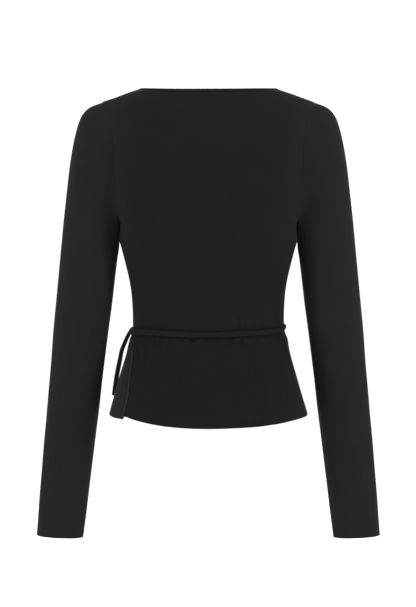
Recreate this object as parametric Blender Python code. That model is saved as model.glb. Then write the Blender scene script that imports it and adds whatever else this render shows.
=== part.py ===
"""A long-sleeved wrap top in black jersey, filled out as worn, with nobody in it.

The wearer faces +Y, so the back panel is at -Y and the wearer's right side at +X. The origin is level with
the high points of the shoulder seams, midway between them. Every piece is a thin wall, worked out from the
rings of the body or the sections of the sleeve, and stands SEAM_GAP from the piece that it is sewn to.
"""

import math

import bmesh
import bpy
import numpy as np

MM = 0.001

# Cloth and seams
WALL = 1.0 * MM
SEAM_GAP = 0.3 * MM
ARMHOLE_GAP = 0.35 * MM
PANEL_LIFT = 0.6 * MM  # from a panel to what is sewn flat on it

# Heights of the body, at the side seam
HEM = -484 * MM
FLARE_TOP = -376 * MM
UNDERARM = -200 * MM
CHEST = -105 * MM  # the shoulders start to close over above this
SQUARENESS = 2.3  # exponent of the body's rings: 2 is an ellipse
SHOULDER_ROUND = 2.2

# Shoulder and neck, half-widths
TIP_X = 158 * MM
TIP_Z = -20.4 * MM
NECK_X = 99.5 * MM
NECK_DIP = 3 * MM
NECK_FLATNESS = 2.5

# Tie
TIE_WIDTH = 9 * MM
TIE_THICK = 2.2 * MM
SLIT_TOP = -349.3 * MM
BODICE_FOOT = -341 * MM
SKIRT_TOP = -368 * MM
SLIT_FOOT = -361 * MM
SLIT_BACK_ANGLE = 2.6  # degrees that the back panel's edge draws back at the slit
SLIT_FRONT_ANGLE = 1.3

BAND_WIDTH = 4.5 * MM
BAND_THICK = 1.0 * MM

# How finely each piece is divided
NECK_COLUMNS = 5
SHOULDER_COLUMNS = 7
FRONT_COLUMNS = 20
PEPLUM_ROWS = 8
BODICE_ROWS = 9
ARMHOLE_ROWS = 5
SHOULDER_ROWS = 8
SLEEVE_RINGS = 20
TIE_SECTIONS = 52
KNOT_RINGS = 10
KNOT_SIDES = 16


class Table:
    """Rows of a short table with named columns, read by a smooth curve that never overshoots its rows."""

    def __init__(self, columns, rows, scale=1.0):
        self.values = dict(zip(columns, np.array(rows, float).T * scale))
        self.key = self.values[columns[0]]

    def read(self, column, at):
        """The column's value where the first column is at."""
        keys, values = self.key, self.values[column]
        steps = np.diff(keys)
        slopes = np.diff(values) / steps
        before, after = slopes[:-1], slopes[1:]
        same_way = before * after > 0
        early, late = 2 * steps[1:] + steps[:-1], steps[1:] + 2 * steps[:-1]
        spread = early / np.where(same_way, before, 1) + late / np.where(same_way, after, 1)
        inner = np.where(same_way, (early + late) / spread, 0)
        tangents = np.concatenate([slopes[:1], inner, slopes[-1:]])
        i = np.clip(np.searchsorted(keys, at, side="right") - 1, 0, len(keys) - 2)
        u = (at - keys[i]) / steps[i]
        smooth = u * u * (3 - 2 * u)
        bend = tangents[i] * (1 - u) - tangents[i + 1] * u
        return values[i] + (values[i + 1] - values[i]) * smooth + steps[i] * u * (1 - u) * bend


# The body from hem to shoulder tip. edge: half-width of the cloth, which ends at the armhole above the
# underarm. ring: half-width that the ring would have if the armhole were closed. back, front: depth from the
# side seams.
BODY = Table(
    ("height", "edge", "ring", "back", "front"),
    [
        (-510, 153.5, 153.5, 115.0, 112.0),
        (-484, 147.0, 147.0, 110.0, 108.0),
        (-454, 138.9, 138.9, 101.0, 103.5),
        (-430, 132.2, 132.2, 93.0, 100.0),
        (-406, 125.6, 125.6, 85.5, 97.0),
        (-386, 120.4, 120.4, 79.0, 95.0),
        (-374, 117.0, 117.0, 74.8, 94.0),
        (-364, 113.7, 113.7, 72.0, 93.5),
        (-340, 112.9, 112.9, 70.5, 95.0),
        (-310, 114.5, 114.5, 73.0, 100.5),
        (-286, 117.9, 117.9, 77.0, 107.5),
        (-264, 123.2, 123.2, 82.0, 115.0),
        (-245, 127.9, 127.9, 86.0, 120.0),
        (-225, 132.4, 132.4, 89.5, 123.0),
        (-200, 133.5, 133.5, 93.0, 121.0),
        (-150, 137.0, 146.0, 96.0, 107.0),
        (-100, 138.5, 157.0, 95.0, 87.0),
        (-60, 142.5, 173.0, 91.5, 71.0),
        (-35, 149.5, 187.0, 88.5, 60.0),
        (-20.4, 158.0, 196.0, 86.0, 54.0),
        (10, 175.0, 215.0, 82.0, 44.0),
    ],
    MM,
)

# Height of the shoulder's ridge, from the middle of the neck outwards. Inside NECK_X it is the line that the
# neckline is cut below.
RIDGE = Table(
    ("across", "height"),
    [
        (0, 27),
        (25, 24),
        (60, 14),
        (99.5, 0),
        (107.5, -2.2),
        (133.3, -11.3),
        (158, -20.4),
        (175, -27),
    ],
    MM,
)

NECK_ANGLE = 180 - math.degrees(math.asin((NECK_X / TIP_X) ** (SQUARENESS / 2)))

# Free edge of each front. Angles are in degrees round the body from the middle of the back, through that
# front's own side seam at 90 and the middle of the front at 180, to the other side seam at 270 and on.
FREE_EDGE = Table(
    ("height", "outer", "under"),
    [
        (-510 * MM, 305.5, 262.0),
        (-455 * MM, 304.5, 262.0),
        (-431 * MM, 302.0, 262.0),
        (-403 * MM, 298.5, 262.5),
        (-388 * MM, 295.5, 263.0),
        (-380 * MM, 290.0, 263.5),
        (-373 * MM, 280.5, 264.0),
        (-368 * MM, 273.0, 264.0),
        (-363 * MM, 266.0, 264.0),
        (-352 * MM, 254.0, 254.0),
        (-340 * MM, 240.5, 240.5),
        (-320 * MM, 227.0, 227.0),
        (-300 * MM, 215.5, 215.5),
        (-250 * MM, 195.0, 195.0),
        (-195 * MM, 180.0, 180.0),
        (-150 * MM, 170.5, 170.5),
        (-100 * MM, 160.0, 160.0),
        (-50 * MM, 150.5, 150.5),
        (0, NECK_ANGLE, NECK_ANGLE),
    ],
)

# How far each front's hem and the back's hang below HEM, and how far a front's layer stands out from the ring
FRONT_HEM = Table(
    ("angle", "outer", "under"),
    [
        (90, 3.5 * MM, -2.5 * MM),
        (130, 6 * MM, 1 * MM),
        (180, 8.5 * MM, 5 * MM),
        (240, 7 * MM, 2.5 * MM),
        (270, 4.2 * MM, 0.5 * MM),
        (290, 4.8 * MM, 0.5 * MM),
        (300, 4.2 * MM, 0.5 * MM),
        (307, 2.2 * MM, 0.5 * MM),
    ],
)
BACK_HEM = Table(
    ("angle", "drop"),
    [
        (-90, -2.5 * MM),
        (-54, 0.5 * MM),
        (-46, 3.2 * MM),
        (-33, 7.6 * MM),
        (-20, 11.4 * MM),
        (0, 13.7 * MM),
        (22, 12.0 * MM),
        (36, 9.8 * MM),
        (54, 6.2 * MM),
        (67, 4.5 * MM),
        (90, 3.5 * MM),
    ],
)
LAYER = Table(
    ("angle", "out"),
    [(90, 0.0), (102, 0.0), (180, 1.5 * MM), (205, 1.9 * MM), (252, 2.7 * MM), (300, 2.7 * MM)],
)

# Soft flutes of the skirt: where round the body, half-width in degrees, and how proud at the hem
FLUTES = (
    ("back right", 24, 9, 2.4),
    ("back middle", -4, 9, 1.2),
    ("back left", -30, 10, 1.6),
    ("side right", 74, 9, 1.4),
    ("front right", 140, 12, 2.0),
    ("front middle", 186, 12, 1.6),
    ("front left", 228, 12, 2.2),
)

# Sleeve from the armhole to the cuff: the points of each section on the outer and the inner side of the arm,
# its depth behind and before its middle, and how far forward that middle is
SLEEVE = Table(
    ("section", "outer_x", "outer_z", "inner_x", "inner_z", "back", "front", "forward"),
    [
        (0, 158.35, -20.4, 133.9, -200, 52, 47, 0),
        (1, 179.6, -29.4, 133.8, -211, 51.5, 47, 0),
        (2, 190.6, -42.5, 133.6, -221, 50.5, 46.5, 0),
        (3, 199.7, -69.8, 133.8, -236, 49, 46, 0),
        (4, 206.3, -105.8, 136.6, -262, 47.5, 45, 0),
        (5, 212.2, -153.8, 141.5, -300, 46, 44, 0),
        (6, 218.4, -214, 147.2, -343, 43.5, 42.5, 0.5),
        (7, 226.5, -297.8, 154.2, -397, 40, 40, 2),
        (8, 235.2, -393.8, 163.3, -468, 36, 36, 5),
        (9, 246.0, -508, 174.1, -556, 31.5, 31.5, 9),
        (10, 258.4, -672.5, 188.4, -675.2, 27.5, 27, 14),
    ],
    MM,
)
CAP_FADES = 0.45  # share of the sleeve over which the armhole's curve becomes the arm's oval

# Tie across the back: angle from the middle of the back towards the wearer's right, height, and distance of
# its middle from the ring. It starts inside the right side seam, leaves by the slit, and ends at the knot.
TIE_BACK = Table(
    ("step", "angle", "height", "out"),
    [
        (0, 95.8, -355.0 * MM, -3.2 * MM),
        (1, 91.6, -355.0 * MM, -2.8 * MM),
        (1.6, 90.0, -355.0 * MM, -0.8 * MM),
        (2.2, 88.0, -355.0 * MM, 1.3 * MM),
        (3, 85.5, -355.4 * MM, 1.8 * MM),
        (4, 77, -357.4 * MM, 1.7 * MM),
        (6, 56, -360.8 * MM, 1.7 * MM),
        (8, 28, -362.6 * MM, 1.7 * MM),
        (10, 0, -363.7 * MM, 1.7 * MM),
        (12, -28, -363.0 * MM, 1.7 * MM),
        (14, -56, -362.4 * MM, 1.7 * MM),
        (15.5, -73, -362.2 * MM, 2.0 * MM),
        (16.5, -84, -362.6 * MM, 4.3 * MM),
        (17.5, -93, -363.2 * MM, 4.4 * MM),
        (19, -110.0, -364.2 * MM, 4.3 * MM),
    ],
)

KNOT_CENTRE = (-114.2 * MM, 45 * MM, -363.5 * MM)
KNOT_RADII = (4.3 * MM, 7.0 * MM, 6.2 * MM)
KNOT_DRAWN_IN = 0.14
KNOT_GROOVE = 0.22  # half-height of the drawn-in middle, as a share of the knot's

# The tie's two hanging ends, from the knot down: place of the middle, and turn of the flat side about it
TAIL_BEHIND = Table(
    ("step", "x", "y", "z", "turn"),
    [
        (0, -119.4 * MM, 39.5 * MM, -362.2 * MM, 14),
        (1, -122.2 * MM, 34.0 * MM, -369.5 * MM, 24),
        (2, -127.0 * MM, 28.5 * MM, -382.0 * MM, 36),
        (3, -131.5 * MM, 26.0 * MM, -394.5 * MM, 42),
        (4, -134.2 * MM, 25.5 * MM, -406.5 * MM, 44),
        (5, -136.5 * MM, 26.5 * MM, -418.5 * MM, 44),
        (6, -138.4 * MM, 28.0 * MM, -430.5 * MM, 42),
        (7, -140.3 * MM, 30.0 * MM, -442.5 * MM, 40),
        (8, -142.0 * MM, 32.0 * MM, -454.5 * MM, 40),
        (8.5, -142.7 * MM, 32.8 * MM, -459.5 * MM, 40),
    ],
)
TAIL_BEFORE = Table(
    ("step", "x", "y", "z", "turn"),
    [
        (0, -113.2 * MM, 46.5 * MM, -370.5 * MM, -24),
        (1, -114.6 * MM, 47.5 * MM, -378.0 * MM, -26),
        (2, -117.0 * MM, 49.5 * MM, -388.0 * MM, -30),
        (3, -119.6 * MM, 52.0 * MM, -402.0 * MM, -32),
        (4, -121.8 * MM, 55.0 * MM, -418.0 * MM, -32),
        (5, -124.6 * MM, 57.5 * MM, -434.0 * MM, -30),
        (6, -128.2 * MM, 60.0 * MM, -450.0 * MM, -28),
        (7, -132.0 * MM, 62.5 * MM, -466.0 * MM, -26),
    ],
)


def on_body(angle, height, behind, edge_height=None):
    """Points of the body's outer surface at an angle round it, in degrees from the middle of the back."""
    edge_height = height if edge_height is None else edge_height
    sine = np.sin(np.radians(angle))
    x = np.sign(sine) * BODY.read("edge", edge_height) * np.abs(sine) ** (2 / SQUARENESS)
    across = np.clip(np.abs(x) / BODY.read("ring", edge_height), 0, 1)
    rise = np.clip((height - CHEST) / (RIDGE.read("height", np.abs(x)) - CHEST), 0, 1)
    closing = (1 - rise**SHOULDER_ROUND) ** (1 / SHOULDER_ROUND)
    depth = np.where(behind, -BODY.read("back", height), BODY.read("front", height))
    y = depth * (1 - across**SQUARENESS) ** (1 / SQUARENESS) * closing
    return np.stack([x, y, height + 0 * x], axis=-1)


def flutes(angle, height):
    """How far the skirt's flutes stand out: bells round the body that grow towards the hem."""
    grown = np.clip((FLARE_TOP - height) / (FLARE_TOP - HEM), 0, 1) ** 1.3
    proud = 0
    for _, middle, half_width, out in FLUTES:
        away = (angle - middle + 180) % 360 - 180
        proud = proud + out * MM * np.exp(-((away / half_width) ** 2))
    return proud * grown


def unit(vectors):
    return vectors / np.linalg.norm(vectors, axis=-1, keepdims=True)


def normals_of(grid, outward):
    """Unit normals of a grid of points, on the side that outward points to."""
    normals = unit(np.cross(np.gradient(grid, axis=1), np.gradient(grid, axis=0)))
    return normals * np.sign((normals * outward).sum(axis=-1, keepdims=True))


def side_heights():
    """Heights of the panels' rows at the side seam, from the hem to the underarm."""
    skirt = np.linspace(HEM, FLARE_TOP, PEPLUM_ROWS + 1)
    waist = [SKIRT_TOP, SLIT_FOOT, SLIT_TOP]
    bodice = BODICE_FOOT + (UNDERARM - BODICE_FOOT) * np.linspace(0, 1, BODICE_ROWS + 1) ** 1.3
    return np.concatenate([skirt, waist, bodice])


def rise_shares():
    """Shares of the way from underarm to shoulder seam, close together where the shoulder closes over."""
    start = (CHEST - UNDERARM) / (TIP_Z - UNDERARM)
    straight = start * np.arange(1, ARMHOLE_ROWS + 1) / ARMHOLE_ROWS
    turn = np.radians(90) * np.arange(1, SHOULDER_ROWS + 1) / SHOULDER_ROWS
    closing = start + (1 - start) * np.sin(turn) ** (2 / SHOULDER_ROUND)
    return np.concatenate([straight, closing])


def at_slit(heights):
    return (heights > SLIT_FOOT - 0.5 * MM) & (heights < SLIT_TOP + 0.5 * MM)


def neckline(across):
    """Height of the back's top edge: the shoulder's ridge, or the neckline between the neck points."""
    cut = -NECK_DIP * (1 - np.clip(np.abs(across) / NECK_X, 0, 1) ** NECK_FLATNESS)
    return np.where(np.abs(across) < NECK_X, cut, RIDGE.read("height", np.abs(across)))


def across_at_top(angle):
    return TIP_X * np.abs(np.sin(np.radians(angle))) ** (2 / SQUARENESS)


def panel(low_angles, high_angles, behind, hem_drop, top_height):
    """Points and normals of a panel: rows from the hem up, columns at the angles given for each row."""
    heights = side_heights()[:, None]
    sag = np.clip((FLARE_TOP - heights) / (FLARE_TOP - HEM), 0, 1) ** 1.5
    low = on_body(low_angles, heights - hem_drop * sag, behind)
    shares = rise_shares()[:, None]
    risen = UNDERARM + shares * (top_height - UNDERARM)
    edge = UNDERARM + shares * (TIP_Z - UNDERARM) + 0 * high_angles
    high = on_body(high_angles, risen, behind if np.isscalar(behind) else False, edge)
    grid = np.concatenate([low, high])
    angles = np.concatenate([low_angles + 0 * heights, high_angles])
    # An outward guide: across the ring, and up where the shoulder closes over
    guide = grid * (1, 1, 0) + np.array([0, 0, 0.02])
    return grid, normals_of(grid, guide), angles


def settle(grid, normals, away_from_seam, seam_cells):
    """Moves a panel half a seam gap off the plane of the side seams, with square edges along the seams."""
    normals[seam_cells, 1] = 0
    normals[seam_cells] = unit(normals[seam_cells])
    return grid + np.array([0, away_from_seam * SEAM_GAP / 2, 0]), normals


def back_columns():
    """Angles of the back panel's columns, with one on each neck point."""
    neck = (180 - NECK_ANGLE) * (1 - np.linspace(1, 0, NECK_COLUMNS + 1) ** 1.6)
    shoulder = np.linspace(180 - NECK_ANGLE, 90, SHOULDER_COLUMNS + 1)
    half = np.concatenate([neck, shoulder[1:]])
    return np.concatenate([-half[:0:-1], half])


def back_surface():
    """Outer points and normals of the back panel."""
    columns = back_columns()
    heights = side_heights()
    right_edge = np.where(at_slit(heights), 90 - SLIT_BACK_ANGLE, 90)[:, None]
    low = np.where(columns > 0, columns * right_edge / 90, columns + 0 * right_edge)
    high = columns + 0 * rise_shares()[:, None]
    top = neckline(across_at_top(columns))
    grid, normals, angles = panel(low, high, True, BACK_HEM.read("drop", low), top)
    seams = np.zeros(grid.shape[:2], bool)
    seams[: len(heights), 0] = True
    seams[: len(heights), -1] = ~at_slit(heights)
    seams[-1, across_at_top(columns) > NECK_X - 0.1 * MM] = True
    grid, normals = settle(grid, normals, -1, seams)
    return grid + normals * flutes(angles, grid[..., 2])[..., None], normals


def front_surface(layer):
    """Outer points and normals of a front with its side seam at +X, as the outer or the under layer."""
    share = np.linspace(0, 1, FRONT_COLUMNS + 1)
    heights = side_heights()
    start = np.where(at_slit(heights) & (layer == "outer"), 90 + SLIT_FRONT_ANGLE, 90)[:, None]
    low = start + share * (FREE_EDGE.read(layer, heights)[:, None] - start)
    neck_heights = UNDERARM * (1 - rise_shares())
    high = 90 + share * (FREE_EDGE.read(layer, neck_heights)[:, None] - 90)
    ridge = RIDGE.read("height", across_at_top(90 + share * (NECK_ANGLE - 90)))
    grid, normals, angles = panel(low, high, low > 270, FRONT_HEM.read(layer, low), ridge)
    seams = np.zeros(grid.shape[:2], bool)
    seams[: len(heights), 0] = ~at_slit(heights) | (layer == "under")
    seams[-1] = True
    grid, normals = settle(grid, normals, 1, seams)
    out = LAYER.read("out", angles) * (1 if layer == "outer" else -1)
    shown_angles = angles if layer == "outer" else -angles
    out = out + flutes(shown_angles, grid[..., 2])
    return grid + normals * out[..., None], normals


def mirrored(grid, normals):
    flip = np.array([-1, 1, 1])
    return grid * flip, normals * flip


def new_object(name, points, faces, material):
    """A mesh object with its faces turned outwards, smooth, in the part's collection."""
    points = np.asarray(points, float)
    volume = 0
    for face in faces:
        corners = points[list(face)]
        for i in range(1, len(face) - 1):
            volume += np.dot(corners[0], np.cross(corners[i], corners[i + 1]))
    if volume < 0:
        faces = [face[::-1] for face in faces]
    mesh = bpy.data.meshes.new(name)
    mesh.from_pydata(points.tolist(), [], faces)
    mesh.shade_smooth()
    mesh.set_sharp_from_angle(angle=math.radians(40))
    mesh.materials.append(material)
    made = bpy.data.objects.new(name, mesh)
    bpy.data.collections["Wrap_Top"].objects.link(made)
    return made


def split_squares(points, index):
    """Triangles of a grid, each square cut along its shorter diagonal, to keep slanting cloth rounded."""
    a, b = index[:-1, :-1].ravel(), index[:-1, 1:].ravel()
    d, c = index[1:, :-1].ravel(), index[1:, 1:].ravel()
    falling = np.linalg.norm(points[a] - points[c], axis=1)
    rising = np.linalg.norm(points[b] - points[d], axis=1)
    first = np.where(falling < rising, [a, b, c], [a, b, d]).T
    second = np.where(falling < rising, [a, c, d], [b, c, d]).T
    return np.concatenate([first, second])


def wall(name, outer, inner, material, round_and_round=False):
    """A closed wall between two grids of one shape. A round one has no first or last column."""
    rows, columns = outer.shape[:2]
    index = np.arange(rows * columns).reshape(rows, columns)
    borders = [(index[:, 0], 1), (index[:, -1], -1)]
    if round_and_round:
        index = np.concatenate([index, index[:, :1]], axis=1)
        borders = []
    borders = borders + [(index[0], -1), (index[-1], 1)]
    inside = rows * columns
    outside_faces = split_squares(outer.reshape(-1, 3), index)
    inside_faces = outside_faces[:, ::-1] + inside
    rims = []
    for line, way in borders:
        strip = np.stack([line[:-1], line[1:], line[1:] + inside, line[:-1] + inside], axis=-1)
        rims.append(strip[:, ::way])
    faces = outside_faces.tolist() + inside_faces.tolist() + np.concatenate(rims).tolist()
    points = np.concatenate([outer.reshape(-1, 3), inner.reshape(-1, 3)])
    return new_object(name, points, faces, material)


def cloth(name, grid, normals, material, round_and_round=False):
    return wall(name, grid, grid - normals * WALL, material, round_and_round)


def step_in(lines, distance):
    """The point on each line of points that lies this far along it from its first."""
    lengths = np.linalg.norm(np.diff(lines, axis=1), axis=-1).cumsum(axis=1)
    lengths = np.pad(lengths, ((0, 0), (1, 0)))
    placed = [
        [np.interp(distance, length, line[:, axis]) for axis in range(3)]
        for line, length in zip(lines, lengths)
    ]
    return np.array(placed)


def binding(name, lines, normals, material):
    """A narrow band on the outside of a panel's edge. lines: the panel's points from the edge inwards."""
    strip = np.stack([step_in(lines, share * BAND_WIDTH) for share in (0, 0.45, 1)], axis=1)
    lift = np.stack([unit(normals[:, :count].mean(axis=1)) for count in (1, 2, 3)], axis=1)
    outer = strip + lift * (PANEL_LIFT + BAND_THICK)
    return wall(name, outer, strip + lift * PANEL_LIFT, material)


def sleeve_oval(section, turn):
    """Points of the sleeve's own section, turned from its outer side over the back of the arm."""
    outer_x, outer_z, inner_x, inner_z, behind, before, forward = (
        SLEEVE.read(column, section) for column in list(SLEEVE.values)[1:]
    )
    outward = (1 + np.cos(turn)) / 2
    x = inner_x + outward * (outer_x - inner_x)
    y = forward - np.where(np.sin(turn) > 0, behind, before) * np.sin(turn)
    z = inner_z + outward * (outer_z - inner_z)
    return np.stack([x, y, z], axis=-1)


def sleeve_surface(back, front):
    """Outer points of the right sleeve: rings from the armhole's own edge, point for point, to the cuff."""
    rows = len(rise_shares())
    tip = back[-1, -1] * (1, 0, 1)
    pit = back[-rows - 1, -1] * (1, 0, 1)
    loop = np.concatenate([[tip], back[-2 : -rows - 1 : -1, -1], [pit], front[-rows:-1, 0]])
    loop = loop + np.array([ARMHOLE_GAP, 0, 0])
    steps = np.linalg.norm(np.roll(loop, -1, axis=0) - loop, axis=1)
    behind = np.concatenate([[0], np.cumsum(steps[:rows])])
    before = np.concatenate([[0], np.cumsum(steps[rows:])])
    cut = np.concatenate([behind / behind[-1], 1 + before[1:-1] / before[-1]]) * math.pi
    even = np.arange(2 * rows) * math.pi / rows

    section = np.linspace(0, SLEEVE.key[-1], SLEEVE_RINGS + 1)[:, None]
    share = section / section[-1]
    turn = cut + (even - cut) * np.clip(2 * share, 0, 1)

    fade = (np.clip(1 - share / CAP_FADES, 0, 1) ** 2)[..., None]
    return sleeve_oval(section, turn) + fade * (loop - sleeve_oval(section[:1], cut[None]))


def sleeve_normals(grid):
    around = np.roll(grid, -1, axis=1) - np.roll(grid, 1, axis=1)
    normals = unit(np.cross(around, np.gradient(grid, axis=0)))
    middle = grid.mean(axis=1, keepdims=True)
    return normals * np.sign((normals * (grid - middle)).sum(axis=-1, keepdims=True))


def flat_section(sides=8):
    """Outline of the flattened tube that the tie is made of: across its width and through its thickness."""
    turn = 2 * math.pi * (np.arange(sides) + 0.5) / sides
    across = np.sign(np.cos(turn)) * np.abs(np.cos(turn)) ** 0.7 * TIE_WIDTH / 2
    through = np.sign(np.sin(turn)) * np.abs(np.sin(turn)) ** 0.7 * TIE_THICK / 2
    return across, through


def capped_tube(name, rings, material):
    """A closed tube through rings of points, with flat ends."""
    count, sides = rings.shape[:2]
    index = np.arange(count * sides).reshape(count, sides)
    following = np.roll(index, -1, axis=1)
    around = np.stack([index[:-1], following[:-1], following[1:], index[1:]], axis=-1).reshape(-1, 4)
    faces = around.tolist() + [index[0, ::-1].tolist(), index[-1].tolist()]
    return new_object(name, rings.reshape(-1, 3), faces, material)


def tie_back(material):
    """The tie round the back of the waist, each section laid on the body's surface."""
    step = np.linspace(0, TIE_BACK.key[-1], TIE_SECTIONS)
    angle, height, out = (TIE_BACK.read(name, step)[:, None] for name in ("angle", "height", "out"))
    across, through = flat_section()
    here, ahead, astern, above = (
        on_body(angle + turn, height + across + rise, np.abs(angle + turn) < 90)
        for turn, rise in ((0, 0), (-0.5, 0), (0.5, 0), (0, 1 * MM))
    )
    normals = unit(np.cross(astern - ahead, above - here))
    rings = here + normals * (out + through)[..., None]
    return capped_tube("tie_back", rings, material)


def tie_tail(name, table, steps, material):
    """A hanging end of the tie: the flat section carried down its path."""
    step = np.linspace(0, table.key[-1], steps)
    path = np.stack([table.read(column, step) for column in "xyz"], axis=-1)
    along = unit(np.gradient(path, axis=0))
    turn = np.radians(table.read("turn", step))
    level = np.stack([-np.sin(turn), np.cos(turn), 0 * turn], axis=-1)
    wide = unit(level - along * (level * along).sum(axis=-1, keepdims=True))
    thick = np.cross(along, wide)
    across, through = flat_section()
    rings = path[:, None] + wide[:, None] * across[:, None] + thick[:, None] * through[:, None]
    return capped_tube(name, rings, material)


def tie_knot(material):
    """The knot: a ball drawn in round its middle by the turn of the tie that goes over it."""
    ball = bmesh.new()
    bmesh.ops.create_uvsphere(ball, u_segments=KNOT_SIDES, v_segments=KNOT_RINGS, radius=1)
    ball.verts.index_update()
    points = np.array([vertex.co for vertex in ball.verts])
    faces = [[vertex.index for vertex in face.verts] for face in ball.faces]
    ball.free()
    points[:, :2] *= 1 - KNOT_DRAWN_IN * np.exp(-((points[:, 2:] / KNOT_GROOVE) ** 2))
    return new_object("tie_knot", points * KNOT_RADII + np.array(KNOT_CENTRE), faces, material)


def jersey(name, grey, roughness):
    """A plain black cloth material."""
    material = bpy.data.materials.new(name)
    material.use_nodes = True
    shader = material.node_tree.nodes["Principled BSDF"]
    shader.inputs["Base Color"].default_value = (grey, grey, grey * 1.02, 1)
    shader.inputs["Roughness"].default_value = roughness
    shader.inputs["Metallic"].default_value = 0
    material.diffuse_color = (grey * 4, grey * 4, grey * 4, 1)
    return material


def clear_scene():
    for old in list(bpy.data.objects):
        bpy.data.objects.remove(old)
    bpy.context.scene.collection.children.link(bpy.data.collections.new("Wrap_Top"))


def main():
    clear_scene()
    back, back_normals = back_surface()
    outer, outer_normals = front_surface("outer")
    under, under_normals = mirrored(*front_surface("under"))

    cloth("back", back, back_normals, jersey("Back jersey", 0.012, 0.85))
    cloth("front_right", outer, outer_normals, jersey("Right front jersey", 0.012, 0.85))
    cloth("front_left", under, under_normals, jersey("Left front jersey", 0.012, 0.85))

    sleeve = sleeve_surface(back, outer)
    normals = sleeve_normals(sleeve)
    cloth("sleeve_right", sleeve, normals, jersey("Right sleeve jersey", 0.013, 0.85), True)
    cloth("sleeve_left", *mirrored(sleeve, normals), jersey("Left sleeve jersey", 0.013, 0.85), True)

    at_neck = np.abs(back_columns()) < 180 - NECK_ANGLE + 0.01
    lines, facing = (part[:-9:-1, at_neck].swapaxes(0, 1) for part in (back, back_normals))
    binding("neckband_back", lines, facing, jersey("Back band jersey", 0.015, 0.8))
    down_to = int(np.searchsorted(side_heights(), BODICE_FOOT))
    for name, grid, facing in (
        ("neckband_right", outer, outer_normals),
        ("neckband_left", under, under_normals),
    ):
        lines, facing = (part[down_to:, :-9:-1] for part in (grid, facing))
        binding(name, lines, facing, jersey(name + " jersey", 0.015, 0.8))

    tie_back(jersey("Tie jersey", 0.014, 0.8))
    tie_knot(jersey("Knot jersey", 0.014, 0.8))
    tie_tail("tie_tail", TAIL_BEHIND, 22, jersey("Tail jersey", 0.014, 0.8))
    tie_tail("tie_tail_front", TAIL_BEFORE, 18, jersey("Front tail jersey", 0.014, 0.8))


main()
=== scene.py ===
"""A long-sleeved wrap top in black jersey, filled out as worn, with nobody in it: its cloth, sewing and finish.

The wearer faces +Y, so the back is at -Y and the wearer's right side at +X. The origin is level with the high
points of the shoulder seams, midway between them. Lengths are in metres and angles round the body in degrees,
from the middle of the back towards the wearer's right. Tables, folds and flutes give their lengths in
millimetres.
"""

import logging
import math
from dataclasses import dataclass, replace
from enum import Enum

import bpy
import numpy as np
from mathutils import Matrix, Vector

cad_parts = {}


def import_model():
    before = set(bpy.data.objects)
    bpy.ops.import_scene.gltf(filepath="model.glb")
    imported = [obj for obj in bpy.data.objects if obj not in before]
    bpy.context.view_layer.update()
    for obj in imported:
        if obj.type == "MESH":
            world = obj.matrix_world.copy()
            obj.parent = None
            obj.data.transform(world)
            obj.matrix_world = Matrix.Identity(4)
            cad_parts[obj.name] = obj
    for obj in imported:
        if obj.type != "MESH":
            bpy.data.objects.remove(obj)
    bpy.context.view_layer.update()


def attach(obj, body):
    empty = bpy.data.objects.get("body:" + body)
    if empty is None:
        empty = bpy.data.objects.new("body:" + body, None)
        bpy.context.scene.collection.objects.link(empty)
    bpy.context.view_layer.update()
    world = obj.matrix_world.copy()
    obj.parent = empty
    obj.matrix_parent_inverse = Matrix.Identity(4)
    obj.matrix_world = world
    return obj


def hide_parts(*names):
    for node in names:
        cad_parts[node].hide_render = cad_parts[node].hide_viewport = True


Array = np.ndarray
Pair = tuple[float, float]
Triple = tuple[float, float, float]
Socket = bpy.types.NodeSocket
Piece = bpy.types.Object

MM = 0.001
TINY = 1e-12  # keeps a division by a length of nothing from failing
FULL_TURN = 360.0
SIDE_SEAM = 90.0  # angle of a panel's own side seam
FAR_SEAM = 270.0  # angle of the other side seam, measured on through the front
BOUND_LINES = 39  # lines of a panel's grid, from its edge inwards, that a binding is laid on
LOG = logging.getLogger("wrap_top")


class Side(Enum):
    """A side of the wearer, as the sign of its x."""

    RIGHT = 1
    LEFT = -1


class Layer(Enum):
    """Which of the two crossed fronts a panel is: also the name of its column in the tables."""

    OUTER = "outer"
    UNDER = "under"


# --- Arithmetic on whole arrays ---


class Table:
    """Rows of a short table with named columns, read by a smooth curve that never overshoots its rows."""

    def __init__(
        self, columns: tuple[str, ...], rows: list[tuple[float, ...]], plain: tuple[str, ...] = ()
    ) -> None:
        """Keeps each column as an array, with its lengths in metres.

        Args:
            columns: names of the columns, the first of which is what the table is read by.
            rows: the numbers, with the first column rising and lengths in millimetres.
            plain: names of the columns that hold no lengths.
        """
        numbers = np.array(rows, float).T
        self.values = {name: kept if name in plain else kept * MM for name, kept in zip(columns, numbers)}
        self.key = self.values[columns[0]]

    def read(self, column: str, at: Array | float) -> Array:
        """The column's value, by a cubic whose slope at each row is the weighted harmonic mean of its neighbours'.

        Args:
            column: name of the column.
            at: value of the first column.

        Returns:
            The value there, with at's shape.
        """
        keys, values = self.key, self.values[column]
        steps = np.diff(keys)
        slopes = np.diff(values) / steps
        before, after = slopes[:-1], slopes[1:]
        same_way = before * after > 0
        early, late = 2 * steps[1:] + steps[:-1], steps[1:] + 2 * steps[:-1]
        spread = early / np.where(same_way, before, 1) + late / np.where(same_way, after, 1)
        inner = np.where(same_way, (early + late) / spread, 0)
        tangents = np.concatenate([slopes[:1], inner, slopes[-1:]])
        i = np.clip(np.searchsorted(keys, at, side="right") - 1, 0, len(keys) - 2)
        u = (at - keys[i]) / steps[i]
        smooth = u * u * (3 - 2 * u)
        bend = tangents[i] * (1 - u) - tangents[i + 1] * u
        return values[i] + (values[i + 1] - values[i]) * smooth + steps[i] * u * (1 - u) * bend

    def read_all(self, at: Array) -> list[Array]:
        """What every column but the first says there, in their order."""
        return [self.read(column, at) for column in list(self.values)[1:]]


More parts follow.
